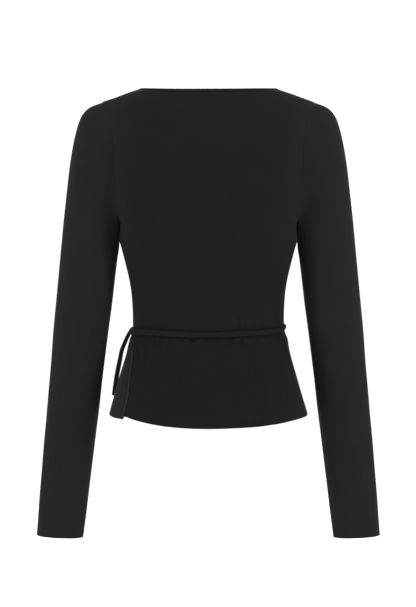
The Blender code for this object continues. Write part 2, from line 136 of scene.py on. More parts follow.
def unit(vectors: Array) -> Array:
    """Each vector divided by its length."""
    return vectors / np.maximum(np.linalg.norm(vectors, axis=-1, keepdims=True), TINY)


def bell(distance: Array, half_width: Array | float) -> Array:
    """A smooth hump: 1 in the middle, and e to the minus one at half_width."""
    return np.exp(-((distance / half_width) ** 2))


def ease(share: Array) -> Array:
    """A share from 0 to 1, clipped, that starts and ends level: 3 squared less 2 cubed."""
    share = np.clip(share, 0, 1)
    return share * share * (3 - 2 * share)


def superellipse(share: Array, power: Array | float) -> Array:
    """A superellipse's second coordinate, for half-widths of 1: the root of one less the first's power."""
    return (1 - share**power) ** (1 / power)


def signed_power(values: Array, power: Array | float) -> Array:
    """Values raised to a power, with the sign of each kept."""
    return np.sign(values) * np.abs(values) ** power


def within_half_turn(degrees: Array) -> Array:
    """Angles brought to lie between minus and plus half a turn."""
    return (degrees + FULL_TURN / 2) % FULL_TURN - FULL_TURN / 2


def nearest(values: Array, wanted: float) -> int:
    """Index of the value that is nearest to the wanted one."""
    return int(np.argmin(np.abs(values - wanted)))


def run_lengths(points: Array, axis: int) -> Array:
    """Distance run along the grid's lines, from 0 at the first point of each.

    Args:
        points: a grid of points, its last axis the coordinates.
        axis: the axis that the lines run along.

    Returns:
        The distance at each point.
    """
    steps = np.linalg.norm(np.diff(points, axis=axis), axis=-1)
    start = np.zeros_like(np.take(steps, [0], axis=axis))
    return np.concatenate([start, np.cumsum(steps, axis=axis)], axis=axis)


def from_end(points: Array, axis: int) -> Array:
    """Distance run back along the grid's lines, from 0 at the last point of each."""
    return np.flip(run_lengths(np.flip(points, axis), axis), axis)


def grid_normals(points: Array, outward: Array, closed: bool = False) -> Array:
    """Unit normals of a grid, the cross product of its two slopes.

    Args:
        points: rows by columns by coordinates.
        outward: vectors that the normals are turned to agree with.
        closed: whether the last column is joined to the first.

    Returns:
        One normal for each point.
    """
    across = (np.roll(points, -1, 1) - np.roll(points, 1, 1)) if closed else np.gradient(points, axis=1)
    normals = unit(np.cross(across, np.gradient(points, axis=0)))
    return normals * np.where((normals * outward).sum(axis=-1, keepdims=True) < 0, -1, 1)


def slide_in(lines: Array, distances: Array) -> Array:
    """Values that lie these distances along each line, by straight interpolation.

    Args:
        lines: lines by points by values; the first three values of a point are its coordinates.
        distances: distances from each line's first point.

    Returns:
        Lines by distances by values.
    """
    run = run_lengths(lines[..., :3], 1)
    after = np.clip((run[:, None, :] <= distances[None, :, None]).sum(-1), 1, lines.shape[1] - 1)
    low = np.take_along_axis(run, after - 1, 1)
    high = np.take_along_axis(run, after, 1)
    share = ((distances[None] - low) / np.maximum(high - low, TINY))[..., None]
    first = np.take_along_axis(lines, (after - 1)[..., None], 1)
    second = np.take_along_axis(lines, after[..., None], 1)
    return first + share * (second - first)


def even_points(points: Array, spacing: float) -> Array:
    """A line's values at even distances along it.

    Args:
        points: points by values; the first three values are coordinates.
        spacing: distance between the new points.

    Returns:
        The new points, the first half a spacing from the line's start.
    """
    length = run_lengths(points[None, :, :3], 1)[0, -1]
    count = max(int(length / spacing), 1)
    return slide_in(points[None], (np.arange(count) + 0.5) * length / count)[0]


# --- Meshes ---


@dataclass
class GridMesh:
    """A sheet as a grid of points, with its own coordinates for the cloth's knit."""

    name: str
    points: Array
    uv: Array
    closed: bool = False  # whether the last column is joined to the first
    painted_light: Array | None = None  # painted light and shade at each point: the share added to the cloth's tone

    def corners(self, values: Array, beyond: Array) -> Array:
        """The values at the four corners of each square of the grid, row by row.

        Args:
            values: a value for each point, with a last axis.
            beyond: the column that follows the last one where the sheet is closed.

        Returns:
            Squares by corners by values.
        """
        if self.closed:
            values = np.concatenate([values, beyond], axis=1)
        around = [values[:-1, :-1], values[:-1, 1:], values[1:, 1:], values[1:, :-1]]
        return np.stack(around, axis=2).reshape(-1, 4, values.shape[-1])

    def build(self, outward: Array) -> Piece:
        """Makes the mesh object, its faces turned to the side that outward points to.

        Args:
            outward: one vector for each grid point.

        Returns:
            The object, linked to the scene.
        """
        points = self.points.reshape(-1, 3)
        index = np.arange(len(points)).reshape(*self.points.shape[:2], 1)
        quads = self.corners(index, index[:, :1])[..., 0]
        uv = self.corners(self.uv, 2 * self.uv[:, -1:] - self.uv[:, -2:-1])
        corners = points[quads]
        facing = np.cross(corners[:, 2] - corners[:, 0], corners[:, 3] - corners[:, 1])
        if (facing * outward.reshape(-1, 3)[quads[:, 0]]).sum() < 0:
            quads, uv = quads[:, ::-1], uv[:, ::-1]
        made = mesh_object(self.name, points, quads, uv.reshape(-1, 2))
        keep_rims_crisp(made.data)
        # The painted light and shade is kept as a point attribute for the material
        if self.painted_light is not None:
            share = made.data.attributes.new("Painted_light_share", "FLOAT", "POINT")
            share.data.foreach_set("value", self.painted_light.astype(np.float32).ravel())
        return made


def keep_rims_crisp(mesh: bpy.types.Mesh) -> None:
    """Marks each edge that only one face has as sharp, so that the rim of the cloth keeps its own light."""
    edges = np.zeros(len(mesh.loops), np.int32)
    mesh.loops.foreach_get("edge_index", edges)
    alone = np.bincount(edges, minlength=len(mesh.edges)) == 1
    mesh.attributes.new("sharp_edge", "BOOLEAN", "EDGE").data.foreach_set("value", alone)


def mesh_object(name: str, points: Array, faces: Array, uv: Array | None = None) -> Piece:
    """A smooth mesh object from whole arrays.

    Args:
        name: name of the object and its mesh.
        points: points by coordinates.
        faces: faces by corners, all with the same number of corners.
        uv: coordinates of every corner of every face, if the piece has any.

    Returns:
        The object, linked to the scene.
    """
    mesh = bpy.data.meshes.new(name)
    count, sides = faces.shape
    mesh.vertices.add(len(points))
    mesh.vertices.foreach_set("co", points.astype(np.float32).ravel())
    mesh.loops.add(count * sides)
    mesh.loops.foreach_set("vertex_index", faces.astype(np.int32).ravel())
    mesh.polygons.add(count)
    mesh.polygons.foreach_set("loop_start", np.arange(0, count * sides, sides, dtype=np.int32))
    if uv is not None:
        layer = mesh.uv_layers.new(name="Knit")
        layer.data.foreach_set("uv", uv.astype(np.float32).ravel())
    mesh.update(calc_edges=True)
    mesh.validate()
    mesh.shade_smooth()
    made = bpy.data.objects.new(name, mesh)
    bpy.context.scene.collection.objects.link(made)
    return made


def give_thickness(piece: Piece, thickness: float) -> None:
    """Adds the cloth's thickness, inwards from the sheet's outer face."""
    solid = piece.modifiers.new("Cloth thickness", "SOLIDIFY")
    solid.thickness = thickness
    solid.offset = -1
    solid.use_rim = True


# --- Finishes ---


class NodeDesk:
    """The node tree of one material, with short calls for the few kinds of node that cloth needs."""

    def __init__(self, name: str) -> None:
        """Makes the material.

        Args:
            name: its name.
        """
        self.material = bpy.data.materials.new(name)
        self.material.use_nodes = True
        self.tree = self.material.node_tree
        self.shader = self.tree.nodes["Principled BSDF"]

    def feed(self, socket: Socket, value: "Socket | float | tuple") -> None:
        """Links a socket to another, or sets its number."""
        if isinstance(value, Socket):
            self.tree.links.new(value, socket)
        else:
            socket.default_value = value

    def give(self, name: str, value: "Socket | float") -> None:
        """Feeds one of the shader's own inputs."""
        self.feed(self.shader.inputs[name], value)

    def node(self, kind: str, inputs: "dict[str, Socket | float | tuple]") -> bpy.types.Node:
        """A new node.

        Args:
            kind: the end of Blender's name for it.
            inputs: what each input is fed, by its name.

        Returns:
            The node.
        """
        made = self.tree.nodes.new(f"ShaderNode{kind}")
        for name, value in inputs.items():
            self.feed(made.inputs[name], value)
        return made

    def math(self, operation: str, *values: "Socket | float") -> Socket:
        """One Math node.

        Args:
            operation: Blender's name for it.
            values: its inputs in order, sockets or numbers.

        Returns:
            Its output.
        """
        made = self.node("Math", {})
        made.operation = operation
        for socket, value in zip(made.inputs, values):
            self.feed(socket, value)
        return made.outputs[0]

    def product(self, *factors: "Socket | float") -> Socket:
        """The product of sockets and numbers, the first of which is a socket."""
        total = factors[0]
        for factor in factors[1:]:
            total = self.math("MULTIPLY", total, factor)
        return total

    def noise(self, vector: Socket, scale: float, detail: float, roughness: float = 0.55) -> Socket:
        """A noise texture's value, from 0 to 1: scale is its waves in a metre, and detail its octaves."""
        inputs = {"Vector": vector, "Scale": scale, "Detail": detail, "Roughness": roughness}
        return self.node("TexNoise", inputs).outputs["Fac"]

    def stretch(self, vector: Socket, scale: Triple) -> Socket:
        """The vector with each of its coordinates multiplied by its own factor."""
        return self.node("Mapping", {"Vector": vector, "Scale": scale}).outputs["Vector"]

    def graded(
        self, value: Socket, low: float, high: float, span: Pair = (0.0, 1.0), course: str = "LINEAR"
    ) -> Socket:
        """A factor that goes from low to high while the value goes through a span, and is level outside it.

        Args:
            value: what it is read by.
            low: factor where the span starts.
            high: factor where it ends.
            span: the values between which it changes.
            course: Blender's name for the way it changes.

        Returns:
            The factor.
        """
        inputs = {"Value": value, "From Min": span[0], "From Max": span[1], "To Min": low, "To Max": high}
        made = self.node("MapRange", inputs)
        made.interpolation_type = course
        return made.outputs["Result"]

    def coordinates(self, which: str) -> Socket:
        """A piece's own coordinates: UV for its knit, or Object for what runs through all pieces."""
        return self.node("TexCoord", {}).outputs[which]

    def separate(self, vector: Socket) -> tuple[Socket, ...]:
        """The three coordinates of a vector."""
        return tuple(self.node("SeparateXYZ", {"Vector": vector}).outputs)

    def attribute(self, name: str) -> Socket:
        """A number that the mesh keeps for each of its points."""
        made = self.node("Attribute", {})
        made.attribute_name = name
        return made.outputs["Fac"]

    def grey(self, value: Socket, warmth: float = 1.0) -> Socket:
        """A colour from one number: green and blue are that number, and red is it times warmth."""
        inputs = {"Red": self.product(value, warmth), "Green": value, "Blue": value}
        return self.node("CombineColor", inputs).outputs["Color"]

    def bump(self, height: Socket, strength: float, distance: float) -> None:
        """Gives the shader a relief, with how much of it shows and the metres that a height of 1 stands for."""
        made = self.node("Bump", {"Height": height, "Strength": strength, "Distance": distance})
        self.give("Normal", made.outputs["Normal"])


@dataclass(frozen=True)
class JerseyFinish:
    """Fine black cotton jersey: rows of V-shaped stitches, a soft sheen at grazing light, cloudy tone, painted
    light and shade.
    """

    name: str
    grey: float = 0.0048
    roughness: float = 0.8
    roughness_swing: float = 0.05  # how much rougher and smoother the cloudy patches are
    gloss: float = 0.02
    sheen: float = 0.01
    sheen_roughness: float = 0.45
    wale: float = 0.9 * MM  # width of a column of stitches
    course: float = 0.75 * MM  # height of a stitch
    lean: float = 0.8  # how far a stitch's legs rise out to the column's edge, in stitches
    crown: float = 0.6  # share of the knit's height that is the yarn's round across a column
    legs: float = 0.2  # share of it by which the legs go up and down
    fuzz: float = 0.25  # the fibres' height against the knit's
    relief: float = 0.07 * MM
    relief_strength: float = 0.6
    cloud_waves: float = 22.0  # in a metre, as the next two
    streak_waves: Triple = (160.0, 160.0, 12.0)
    fibre_waves: float = 1400.0
    cloud_tone: Pair = (0.86, 1.14)
    streak_tone: Pair = (0.93, 1.07)
    # Painted shade in the knit's hollows and painted light on its tops
    knit_light_and_shade: Pair = (0.8, 1.1)
    painted_light_arms: float = 1.3  # painted light: how much lighter the cloth is painted out at the sleeves than at the middle of the back
    arms: Pair = (104 * MM, 156 * MM)  # distances from the middle between which it gets so
    painted_shade_skirt: float = 1.0  # painted shade: how much darker the cloth is painted below the tie
    below_tie: Pair = (-378 * MM, -335 * MM)  # heights between which it stops being so
    painted_light_on_mesh: bool = False  # whether the mesh keeps painted light and shade for each point

    def stitch_height(self, desk: NodeDesk) -> Socket:
        """Height of the knit, from 0 to 1.

        Across a column the yarn is highest in the middle and falls as the square of the distance to the edge. Each
        stitch's two legs lean up and out, so the cosine that makes the stitches is shifted by that distance.

        Args:
            desk: the material's nodes.

        Returns:
            The height.
        """
        along, up, _ = desk.separate(desk.coordinates("UV"))
        column = desk.math("FRACT", desk.math("DIVIDE", along, self.wale))
        off_middle = desk.product(desk.math("ABSOLUTE", desk.math("SUBTRACT", column, 0.5)), 2.0)
        rise = desk.math("MULTIPLY_ADD", off_middle, self.lean, desk.math("DIVIDE", up, self.course))
        legs = desk.math("COSINE", desk.product(rise, 2 * math.pi))
        crown = desk.math("SUBTRACT", 1.0, desk.product(off_middle, off_middle))
        return desk.math("MULTIPLY_ADD", legs, self.legs, desk.math("MULTIPLY_ADD", crown, self.crown, self.legs))

    def painted_light_and_shade(self, desk: NodeDesk, place: Socket) -> Socket:
        """Painted light and shade: lighter out to the arms, darker below the tie, and as the mesh's attribute says.
        """
        across, _, up = desk.separate(place)
        # Painted light: the cloth is painted lighter out towards the sleeves
        out = desk.graded(desk.math("ABSOLUTE", across), 1.0, self.painted_light_arms, self.arms, "SMOOTHSTEP")
        # Painted shade: the cloth is painted darker below the tie
        down = desk.graded(up, self.painted_shade_skirt, 1.0, self.below_tie, "SMOOTHSTEP")
        painted_tone = desk.product(out, down)
        # Painted light and shade that the mesh keeps for each point, where it has any
        return desk.product(painted_tone, desk.math("ADD", desk.attribute("Painted_light_share"), 1.0)) if self.painted_light_on_mesh else painted_tone

    def material(self) -> bpy.types.Material:
        """The finish as a material: its tone is the product of the clouds, the streaks, and the knit's and the
        garment's painted light and shade.
        """
        desk = NodeDesk(self.name)
        place = desk.coordinates("Object")
        cloudy = desk.noise(place, self.cloud_waves, 3.0)
        streaks = desk.noise(desk.stretch(place, self.streak_waves), 1.0, 2.0)
        fibres = desk.noise(place, self.fibre_waves, 2.0)
        stitch = self.stitch_height(desk)
        # The knit's height also sets its tone: painted shade where the yarn lies low, painted light on its tops
        patterns = ((cloudy, self.cloud_tone), (streaks, self.streak_tone), (stitch, self.knit_light_and_shade))
        tones = [desk.graded(pattern, low, high) for pattern, (low, high) in patterns]
        desk.give("Base Color", desk.grey(desk.product(*tones, self.painted_light_and_shade(desk, place), self.grey)))
        smooth, rough = self.roughness - self.roughness_swing, self.roughness + self.roughness_swing
        desk.give("Roughness", desk.graded(cloudy, smooth, rough))
        desk.give("Specular IOR Level", self.gloss)
        desk.give("Sheen Weight", self.sheen)
        desk.give("Sheen Roughness", self.sheen_roughness)
        desk.bump(desk.math("MULTIPLY_ADD", fibres, self.fuzz, stitch), self.relief_strength, self.relief)
        plain = 3 * self.grey
        desk.material.diffuse_color = (plain, plain, plain, 1)
        return desk.material


@dataclass(frozen=True)
class ThreadFinish:
    """Spun sewing thread, a shade lighter than the jersey, with its twist as a fine slant."""

    name: str
    grey: float = 0.0050
    shades: Pair = (0.7, 1.4)  # the twist's darkest and lightest, as shares of the grey
    warmth: float = 0.97
    roughness: float = 0.75
    gloss: float = 0.08
    twist_waves: float = 1500.0  # in a metre
    relief: float = 0.05 * MM
    relief_strength: float = 0.5

    def material(self) -> bpy.types.Material:
        """The finish as a material."""
        desk = NodeDesk(self.name)
        twist = desk.noise(desk.stretch(desk.coordinates("Object"), (3.0, 3.0, 1.0)), self.twist_waves, 2.0)
        low, high = self.shades
        desk.give("Base Color", desk.grey(desk.graded(twist, self.grey * low, self.grey * high), self.warmth))
        desk.give("Roughness", self.roughness)
        desk.give("Specular IOR Level", self.gloss)
        desk.bump(twist, self.relief_strength, self.relief)
        return desk.material


# --- Folds ---


FOLD_START = 0.75  # a fold's width where it is held, against its half_width
FOLD_SPREAD = 0.6  # what it gains on the way, against the same
FOLD_FADE = 0.75  # share of its line over which it dies out


@dataclass(frozen=True)
class Fold:
    """A soft ridge, or with a negative rise a trough, that the cloth's pull or slack leaves in it.

    Its line runs from where the cloth is held to where it dies out. It reaches its full rise over the first part of
    the line, given by root, and broadens on the way to its end.
    """

    angle: float
    height: float
    to_angle: float
    to_height: float
    rise: float
    half_width: float
    bow: float = 0.0
    root: float = 0.15

    def offset(self, angle: Array, height: Array, radius: float) -> Array:
        """How far the fold lifts the cloth.

        The place is measured along the chord and square to it, less a parabola of height bow. The lift is a bell
        across the line times an eased rise and fall along it.

        Args:
            angle: degrees round the body or the arm.
            height: metres up the body or along the arm.
            radius: metres that one radian of angle is worth.

        Returns:
            Metres outwards.
        """
        to_metres = math.radians(1) * radius
        across, up = within_half_turn(angle - self.angle) * to_metres, height - self.height * MM
        chord = np.array([(self.to_angle - self.angle) * to_metres, (self.to_height - self.height) * MM])
        length = np.linalg.norm(chord)
        along = (across * chord[0] + up * chord[1]) / length**2
        share = np.clip(along, 0, 1)
        aside = (across * chord[1] - up * chord[0]) / length - self.bow * MM * 4 * share * (1 - share)
        width = self.half_width * MM * (FOLD_START + FOLD_SPREAD * share)
        strength = ease(along / self.root) * ease((1 - along) / FOLD_FADE)
        return self.rise * MM * bell(aside, width) * strength


@dataclass(frozen=True)
class Ripple:
    """A faint wave through the cloth: waves in a full turn, metres per wave up, height in metres, and phase."""

    turns: int
    up: float
    rise: float
    phase: float


RIPPLES = (
    Ripple(8, 0.31, 0.16 * MM, 0.4),
    Ripple(-5, 0.19, 0.20 * MM, 2.1),
    Ripple(11, -0.143, 0.10 * MM, 4.0),
    Ripple(2, 0.083, 0.10 * MM, 5.2),
    Ripple(-15, -0.39, 0.07 * MM, 1.3),
)


def rippled(angle: Array, height: Array) -> Array:
    """What the faint waves add to the cloth: the sum of their sines, the same in every layer at one place."""
    return sum(
        wave.rise * np.sin(wave.turns * np.radians(angle) + 2 * math.pi * height / wave.up + wave.phase)
        for wave in RIPPLES
    )


def drape(folds: tuple[Fold, ...], angle: Array, height: Array, radius: float) -> Array:
    """All that the folds add to the cloth.

    Args:
        folds: the folds on this piece.
        angle: degrees round.
        height: metres up or along.
        radius: metres that one radian is worth.

    Returns:
        Metres outwards.
    """
    return sum(fold.offset(angle, height, radius) for fold in folds)


# --- The body's form ---

# From hem to shoulder tip, in millimetres. edge: half-width of the cloth, which ends at the armhole above the
# underarm. ring: half-width that the ring would have if the armhole were closed. back, front: depth from the
# side seams.
BODY_RINGS = Table(
    ("height", "edge", "ring", "back", "front"),
    [
        (-510, 153.5, 153.5, 115, 112),
        (-484, 147, 147, 110, 108),
        (-454, 138.9, 138.9, 101, 103.5),
        (-430, 132.2, 132.2, 93, 100),
        (-406, 125.6, 125.6, 85.5, 97),
        (-386, 120.4, 120.4, 79, 95),
        (-374, 117, 117, 74.8, 94),
        (-364, 113.9, 113.9, 72, 93.5),
        (-340, 113.4, 113.4, 70.5, 95),
        (-310, 114.9, 114.9, 73, 100.5),
        (-286, 118.2, 118.2, 77, 107.5),
        (-264, 122.9, 122.9, 82, 115),
        (-245, 127.5, 127.5, 86, 120),
        (-225, 132.2, 132.2, 89.5, 123),
        (-200, 133.5, 133.5, 93, 121),
        (-196, 133.7, 136, 93.3, 120),
        (-190, 134.2, 139.9, 93.8, 118.4),
        (-175, 135.4, 147.4, 94.9, 114.2),
        (-150, 137, 153.6, 96, 107),
        (-100, 138.5, 159, 95, 87),
        (-60, 142.5, 173, 91.5, 71),
        (-35, 149.5, 187, 88.5, 60),
        (-20.4, 158, 196, 86, 54),
        (10, 175, 215, 82, 44),
    ],
)

# Height of the shoulder's ridge from the middle of the neck outwards
SHOULDER_RIDGE = Table(
    ("across", "height"),
    [
        (0, 27),
        (25, 24),
        (60, 14),
        (99.5, 0),
        (107.5, -2.2),
        (133.3, -11.3),
        (158, -20.4),
        (175, -27),
    ],
)


@dataclass(frozen=True)
class BodyForm:
    """The filled-out body of the top: superellipse rings that close over at the shoulders."""

    hem: float = -484 * MM
    flare_top: float = -376 * MM
    sag_power: float = 1.5  # how the hem's drop grows down the skirt
    flute_power: float = 1.3  # how the flutes grow down it
    underarm: float = -200 * MM
    chest: float = -105 * MM
    squareness: float = 2.3
    pressed_squareness: float = 3.1  # where the arms press the body's sides flat
    pressed_height: float = -224 * MM
    pressed_half: float = 38 * MM
    shoulder_round: float = 2.2
    tip_x: float = 158 * MM
    tip_z: float = -20.4 * MM
    neck_x: float = 99.5 * MM
    neck_dip: float = 3 * MM
    neck_flatness: float = 2.5
    radius: float = 110 * MM  # what one radian round the body is worth to the folds and the knit

    @property
    def neck_angle(self) -> float:
        """Angle of the front's neck point, from the middle of the back."""
        share = (self.neck_x / self.tip_x) ** (self.squareness / 2)
        return 180 - math.degrees(math.asin(share))

    def raised(self, top: Array | float, shares: Array) -> Array:
        """Heights at shares of the way from the underarm up to a top."""
        return self.underarm + shares * (top - self.underarm)

    def down_skirt(self, height: Array, power: float) -> Array:
        """Share of the way from the tie's lower edge down to the hem, raised to a power."""
        return np.clip((self.flare_top - height) / (self.flare_top - self.hem), 0, 1) ** power

    def squareness_at(self, height: Array) -> Array:
        """Power of the ring's superellipse: the plain one, and a bell up to the pressed one beside the arms."""
        flatter = bell(height - self.pressed_height, self.pressed_half)
        return self.squareness + (self.pressed_squareness - self.squareness) * flatter

    def ring_point(self, angle: Array, height: Array, behind: Array | bool, edge_height: Array) -> Array:
        """Points of the body's outer surface.

        x is the edge's half-width times a power of the angle's sine. y makes a superellipse of it with the ring's
        depth, closed over above the chest by another superellipse that reaches nothing at the shoulder's ridge.

        Args:
            angle: degrees from the middle of the back.
            height: metres up.
            behind: whether the point is on the back half.
            edge_height: height at which the half-width is read.

        Returns:
            The points, with a last axis for the coordinates.
        """
        sine = np.sin(np.radians(angle))
        x = BODY_RINGS.read("edge", edge_height) * signed_power(sine, 2 / self.squareness)
        across = np.clip(np.abs(x) / BODY_RINGS.read("ring", edge_height), 0, 1)
        ridge = SHOULDER_RIDGE.read("height", np.abs(x))
        rise = np.clip((height - self.chest) / (ridge - self.chest), 0, 1)
        closing = superellipse(rise, self.shoulder_round)
        depth = np.where(behind, -BODY_RINGS.read("back", height), BODY_RINGS.read("front", height))
        y = depth * superellipse(across, self.squareness_at(height)) * closing
        return np.stack(np.broadcast_arrays(x, y, height), axis=-1)

    def side_wall(self, y: Array, height: Array) -> Array:
        """Distance of the body's side from the middle at a depth and height: the ring's superellipse, for x."""
        depth = np.where(y < 0, BODY_RINGS.read("back", height), BODY_RINGS.read("front", height))
        near = np.clip(np.abs(y) / depth, 0, 1)
        return BODY_RINGS.read("edge", height) * superellipse(near, self.squareness_at(height))

    def across_at_top(self, angle: Array) -> Array:
        """Distance from the middle at which a column of the panel reaches the shoulder."""
        return self.tip_x * np.abs(np.sin(np.radians(angle))) ** (2 / self.squareness)

    def neckline(self, across: Array) -> Array:
        """Height of the back's top edge: the shoulder's ridge, or a shallow power curve between the neck points."""
        near = np.clip(np.abs(across) / self.neck_x, 0, 1)
        cut = -self.neck_dip * (1 - near**self.neck_flatness)
        return np.where(np.abs(across) < self.neck_x, cut, SHOULDER_RIDGE.read("height", np.abs(across)))

    def even_angles(self, low: float, high: float, count: int, samples: int = 721) -> Array:
        """Angles whose points are evenly spaced round the ring at the underarm.

        Args:
            low: the first angle.
            high: the last angle.
            count: how many.
            samples: how many points the ring is measured by.

        Returns:
            The angles.
        """
        dense = np.linspace(low, high, samples)
        level = np.full(samples, self.underarm)
        run = run_lengths(self.ring_point(dense, level, np.cos(np.radians(dense)) > 0, level)[None], 1)[0]
        return np.interp(np.linspace(0, run[-1], count), run, dense)


# --- Turned edges and rows ---


@dataclass(frozen=True)
class TurnedEdge:
    """An edge turned under and stitched: the cloth rounds the fold and runs back behind itself.

    The fold is a half-circle. A point on it at an inset from the edge lies a depth below the outer face.
    """

    width: float = 13 * MM
    radius: float = 0.62 * MM
    stitch_insets: tuple[float, ...] = (10 * MM, 12 * MM)
    flat_insets: tuple[float, ...] = (1.1 * MM, 1.8 * MM, 2.5 * MM, 3.3 * MM, 4.3 * MM, 5.3 * MM, 7.5 * MM)
    clear: float = 0.5 * MM  # no other line comes nearer to the stitches than this, on the fold's side

    def insets(self) -> Array:
        """Distances from the fold at which the cloth has a line of points, from the fold inwards."""
        rounded = [self.radius * (1 - math.sin(math.radians(turn))) for turn in (90, 60, 30, 0)]
        inside = [inset for inset in self.flat_insets if inset < self.stitch_insets[0] - self.clear]
        return np.array(rounded + inside + list(self.stitch_insets) + [self.width])

    def order(self, lines: int) -> Array:
        """Indices of the lines in the whole sheet's order: the turned part up to the fold, then the outer face.

        Args:
            lines: how many lines the outer face has, with the fold as the first.

        Returns:
            The indices.
        """
        turned = np.arange(len(self.insets()) - 1, 0, -1)
        return np.concatenate([turned, np.arange(lines)])

    def at_end(self, lines: int) -> tuple[Array, Array]:
        """Order and depths of the lines where the fold is the last of them and the turned part comes after it."""
        return lines - 1 - self.order(lines)[::-1], self.depths(lines)[::-1]

    def depths(self, lines: int) -> Array:
        """Depth of each line of the whole sheet below the outer face, in the order that order gives."""
        insets = self.insets()
        r = self.radius
        sagitta = np.sqrt(np.clip(r**2 - (r - np.minimum(insets, r)) ** 2, 0, None))
        outer = np.zeros(lines)
        outer[: len(insets)] = r - sagitta
        return np.concatenate([(r + sagitta)[:0:-1], outer])


@dataclass(frozen=True)
class RowPlan:
    """Heights of the rows that all panels share, so that their seams meet point for point."""

    form: BodyForm
    hem: TurnedEdge
    waist: Pair = (-384 * MM, -332 * MM)
    low_rows: tuple[int, int, int] = (44, 24, 42)  # in the skirt, the waist and the bodice
    armhole_rows: int = 38
    shoulder_rows: int = 32
    crowding: float = 1.5  # power by which the rows are closer together just above the underarm

    def low(self) -> Array:
        """Heights from the hem's fold to the underarm, closest together round the tie."""
        rows = self.form.hem + self.hem.insets()
        for top, count in zip((*self.waist, self.form.underarm), self.low_rows):
            rows = np.append(rows, np.linspace(rows[-1], top, count + 1)[1:])
        return rows

    def shares(self) -> Array:
        """Shares of the way from underarm to shoulder seam, closer together at the underarm and at the shoulder."""
        form = self.form
        start = (form.chest - form.underarm) / (form.tip_z - form.underarm)
        straight = start * (np.arange(1, self.armhole_rows + 1) / self.armhole_rows) ** self.crowding
        turn = math.radians(90) * np.arange(1, self.shoulder_rows + 1) / self.shoulder_rows
        return np.concatenate([straight, start + (1 - start) * np.sin(turn) ** (2 / form.shoulder_round)])

    def heights(self) -> Array:
        """Height of every row, from the hem up, on a line that reaches the neck points' level at the top."""
        return np.concatenate([self.low(), self.form.raised(0, self.shares())])


# --- Panels ---


@dataclass
class PanelGrid:
    """A panel's cloth as a grid, rows from the hem's fold up, columns across.

    skin is its outer face with folds and seams in it. facing are the normals, out of the body. angles are degrees
    round the body, heights the rows' own heights, flat the skin before folds and seams, and the last field the
    painted light and shade on the cloth, as the share added to its tone.
    """

    skin: Array
    facing: Array
    angles: Array
    heights: Array
    flat: Array
    painted_light: Array | None = None

    def mirrored(self) -> "PanelGrid":
        """The same panel for the other side of the body."""
        flip = np.array([-1, 1, 1])
        return replace(self, skin=self.skin * flip, facing=self.facing * flip, flat=self.flat * flip)


@dataclass(frozen=True)
class SeamRoll:
    """How cloth draws in beside a sewn seam: a narrow furrow over a wide, shallow one."""

    depth: float = 0.5 * MM
    half_width: float = 1.5 * MM
    wide_depth: float = 0.2 * MM
    wide_half_width: float = 7 * MM
    at_armhole: float = 0.2  # share of it at the armholes and shoulders, which are pressed flat
    neck_fade: float = 6 * MM  # how far out from the neck point the shoulder seam's furrow is full

    def furrow(self, distance: Array) -> Array:
        """How far the cloth lies below its form at a distance from the seam: the sum of two bells."""
        return self.depth * bell(distance, self.half_width) + self.wide_depth * bell(distance, self.wide_half_width)

    def by_row(self, rows: RowPlan) -> Array:
        """Share of the furrow in each row beside the side seam and, above the underarm, the armhole."""
        return np.where(rows.heights() > rows.form.underarm, self.at_armhole, 1)[:, None]


@dataclass(frozen=True)
class Slit:
    """The slit in the right side seam that the tie comes out of, as the heights of its two ends."""

    low: float = -362 * MM
    high: float = -348.3 * MM

    def share(self, heights: Array) -> Array:
        """Share by which each height lies in the slit: the root of a parabola from end to end."""
        middle, half = (self.low + self.high) / 2, (self.high - self.low) / 2
        return np.sqrt(np.clip(1 - ((heights - middle) / half) ** 2, 0, 1))


# How far the back's hem hangs below the hem's height, by angle
BACK_HEM = Table(
    ("angle", "drop"),
    [
        (-90, -2.5),
        (-54, 0.5),
        (-46, 3.2),
        (-33, 7.6),
        (-20, 11.4),
        (0, 13.7),
        (22, 12),
        (36, 9.8),
        (54, 6.2),
        (67, 4.5),
        (90, 3.5),
    ],
    ("angle",),
)

# Soft flutes of the skirt: degrees round the body, half-width in degrees, and how proud at the hem
FLUTES = (
    (33, 7, 3.2),  # back right
    (10, 6, 3.4),  # back middle
    (-24, 8, 3.6),  # back left
    (74, 9, 1.2),  # side right
    (92, 9, 2.0),  # seam right
    (140, 12, 2.0),  # front right
    (186, 12, 1.6),  # front middle
    (228, 12, 2.2),  # front left
)

# The tie round the back of the waist: the middle line's angle, height and distance from the body's form, and the
# tie's width there against its full width
TIE_COURSE = Table(
    ("step", "angle", "height", "out", "wide"),
    [
        (0, 98, -355.4, -3.4, 0.8),
        (1, 94, -355.4, -2.4, 0.84),
        (1.6, 91.6, -355.4, -0.2, 0.86),
        (2.2, 89.6, -355.4, 1.3, 0.84),
        (3, 85, -355.2, 1.8, 0.76),
        (4, 78, -356.8, 1.6, 0.74),
        (5, 68.8, -358.3, 1.5, 0.76),
        (6, 51.2, -359.9, 1.5, 0.8),
        (7, 34.3, -361.2, 1.6, 0.85),
        (8, 21.2, -362, 1.6, 0.9),
        (9, 10, -363.2, 1.7, 0.94),
        (10, 0, -363.7, 1.7, 0.97),
        (11, -7.3, -363.8, 1.7, 0.98),
        (12, -18, -362.8, 1.7, 1),
        (13, -30.5, -362.1, 1.7, 1),
        (14, -45.9, -361.3, 1.7, 1),
        (15, -60.3, -361.4, 1.8, 1),
        (15.8, -73, -362.4, 2.2, 1),
        (16.5, -82, -363, 3.2, 1),
        (17.5, -93, -363.4, 3.7, 1),
        (19, -110, -364.2, 4.3, 0.95),
    ],
    ("step", "angle", "wide"),
)

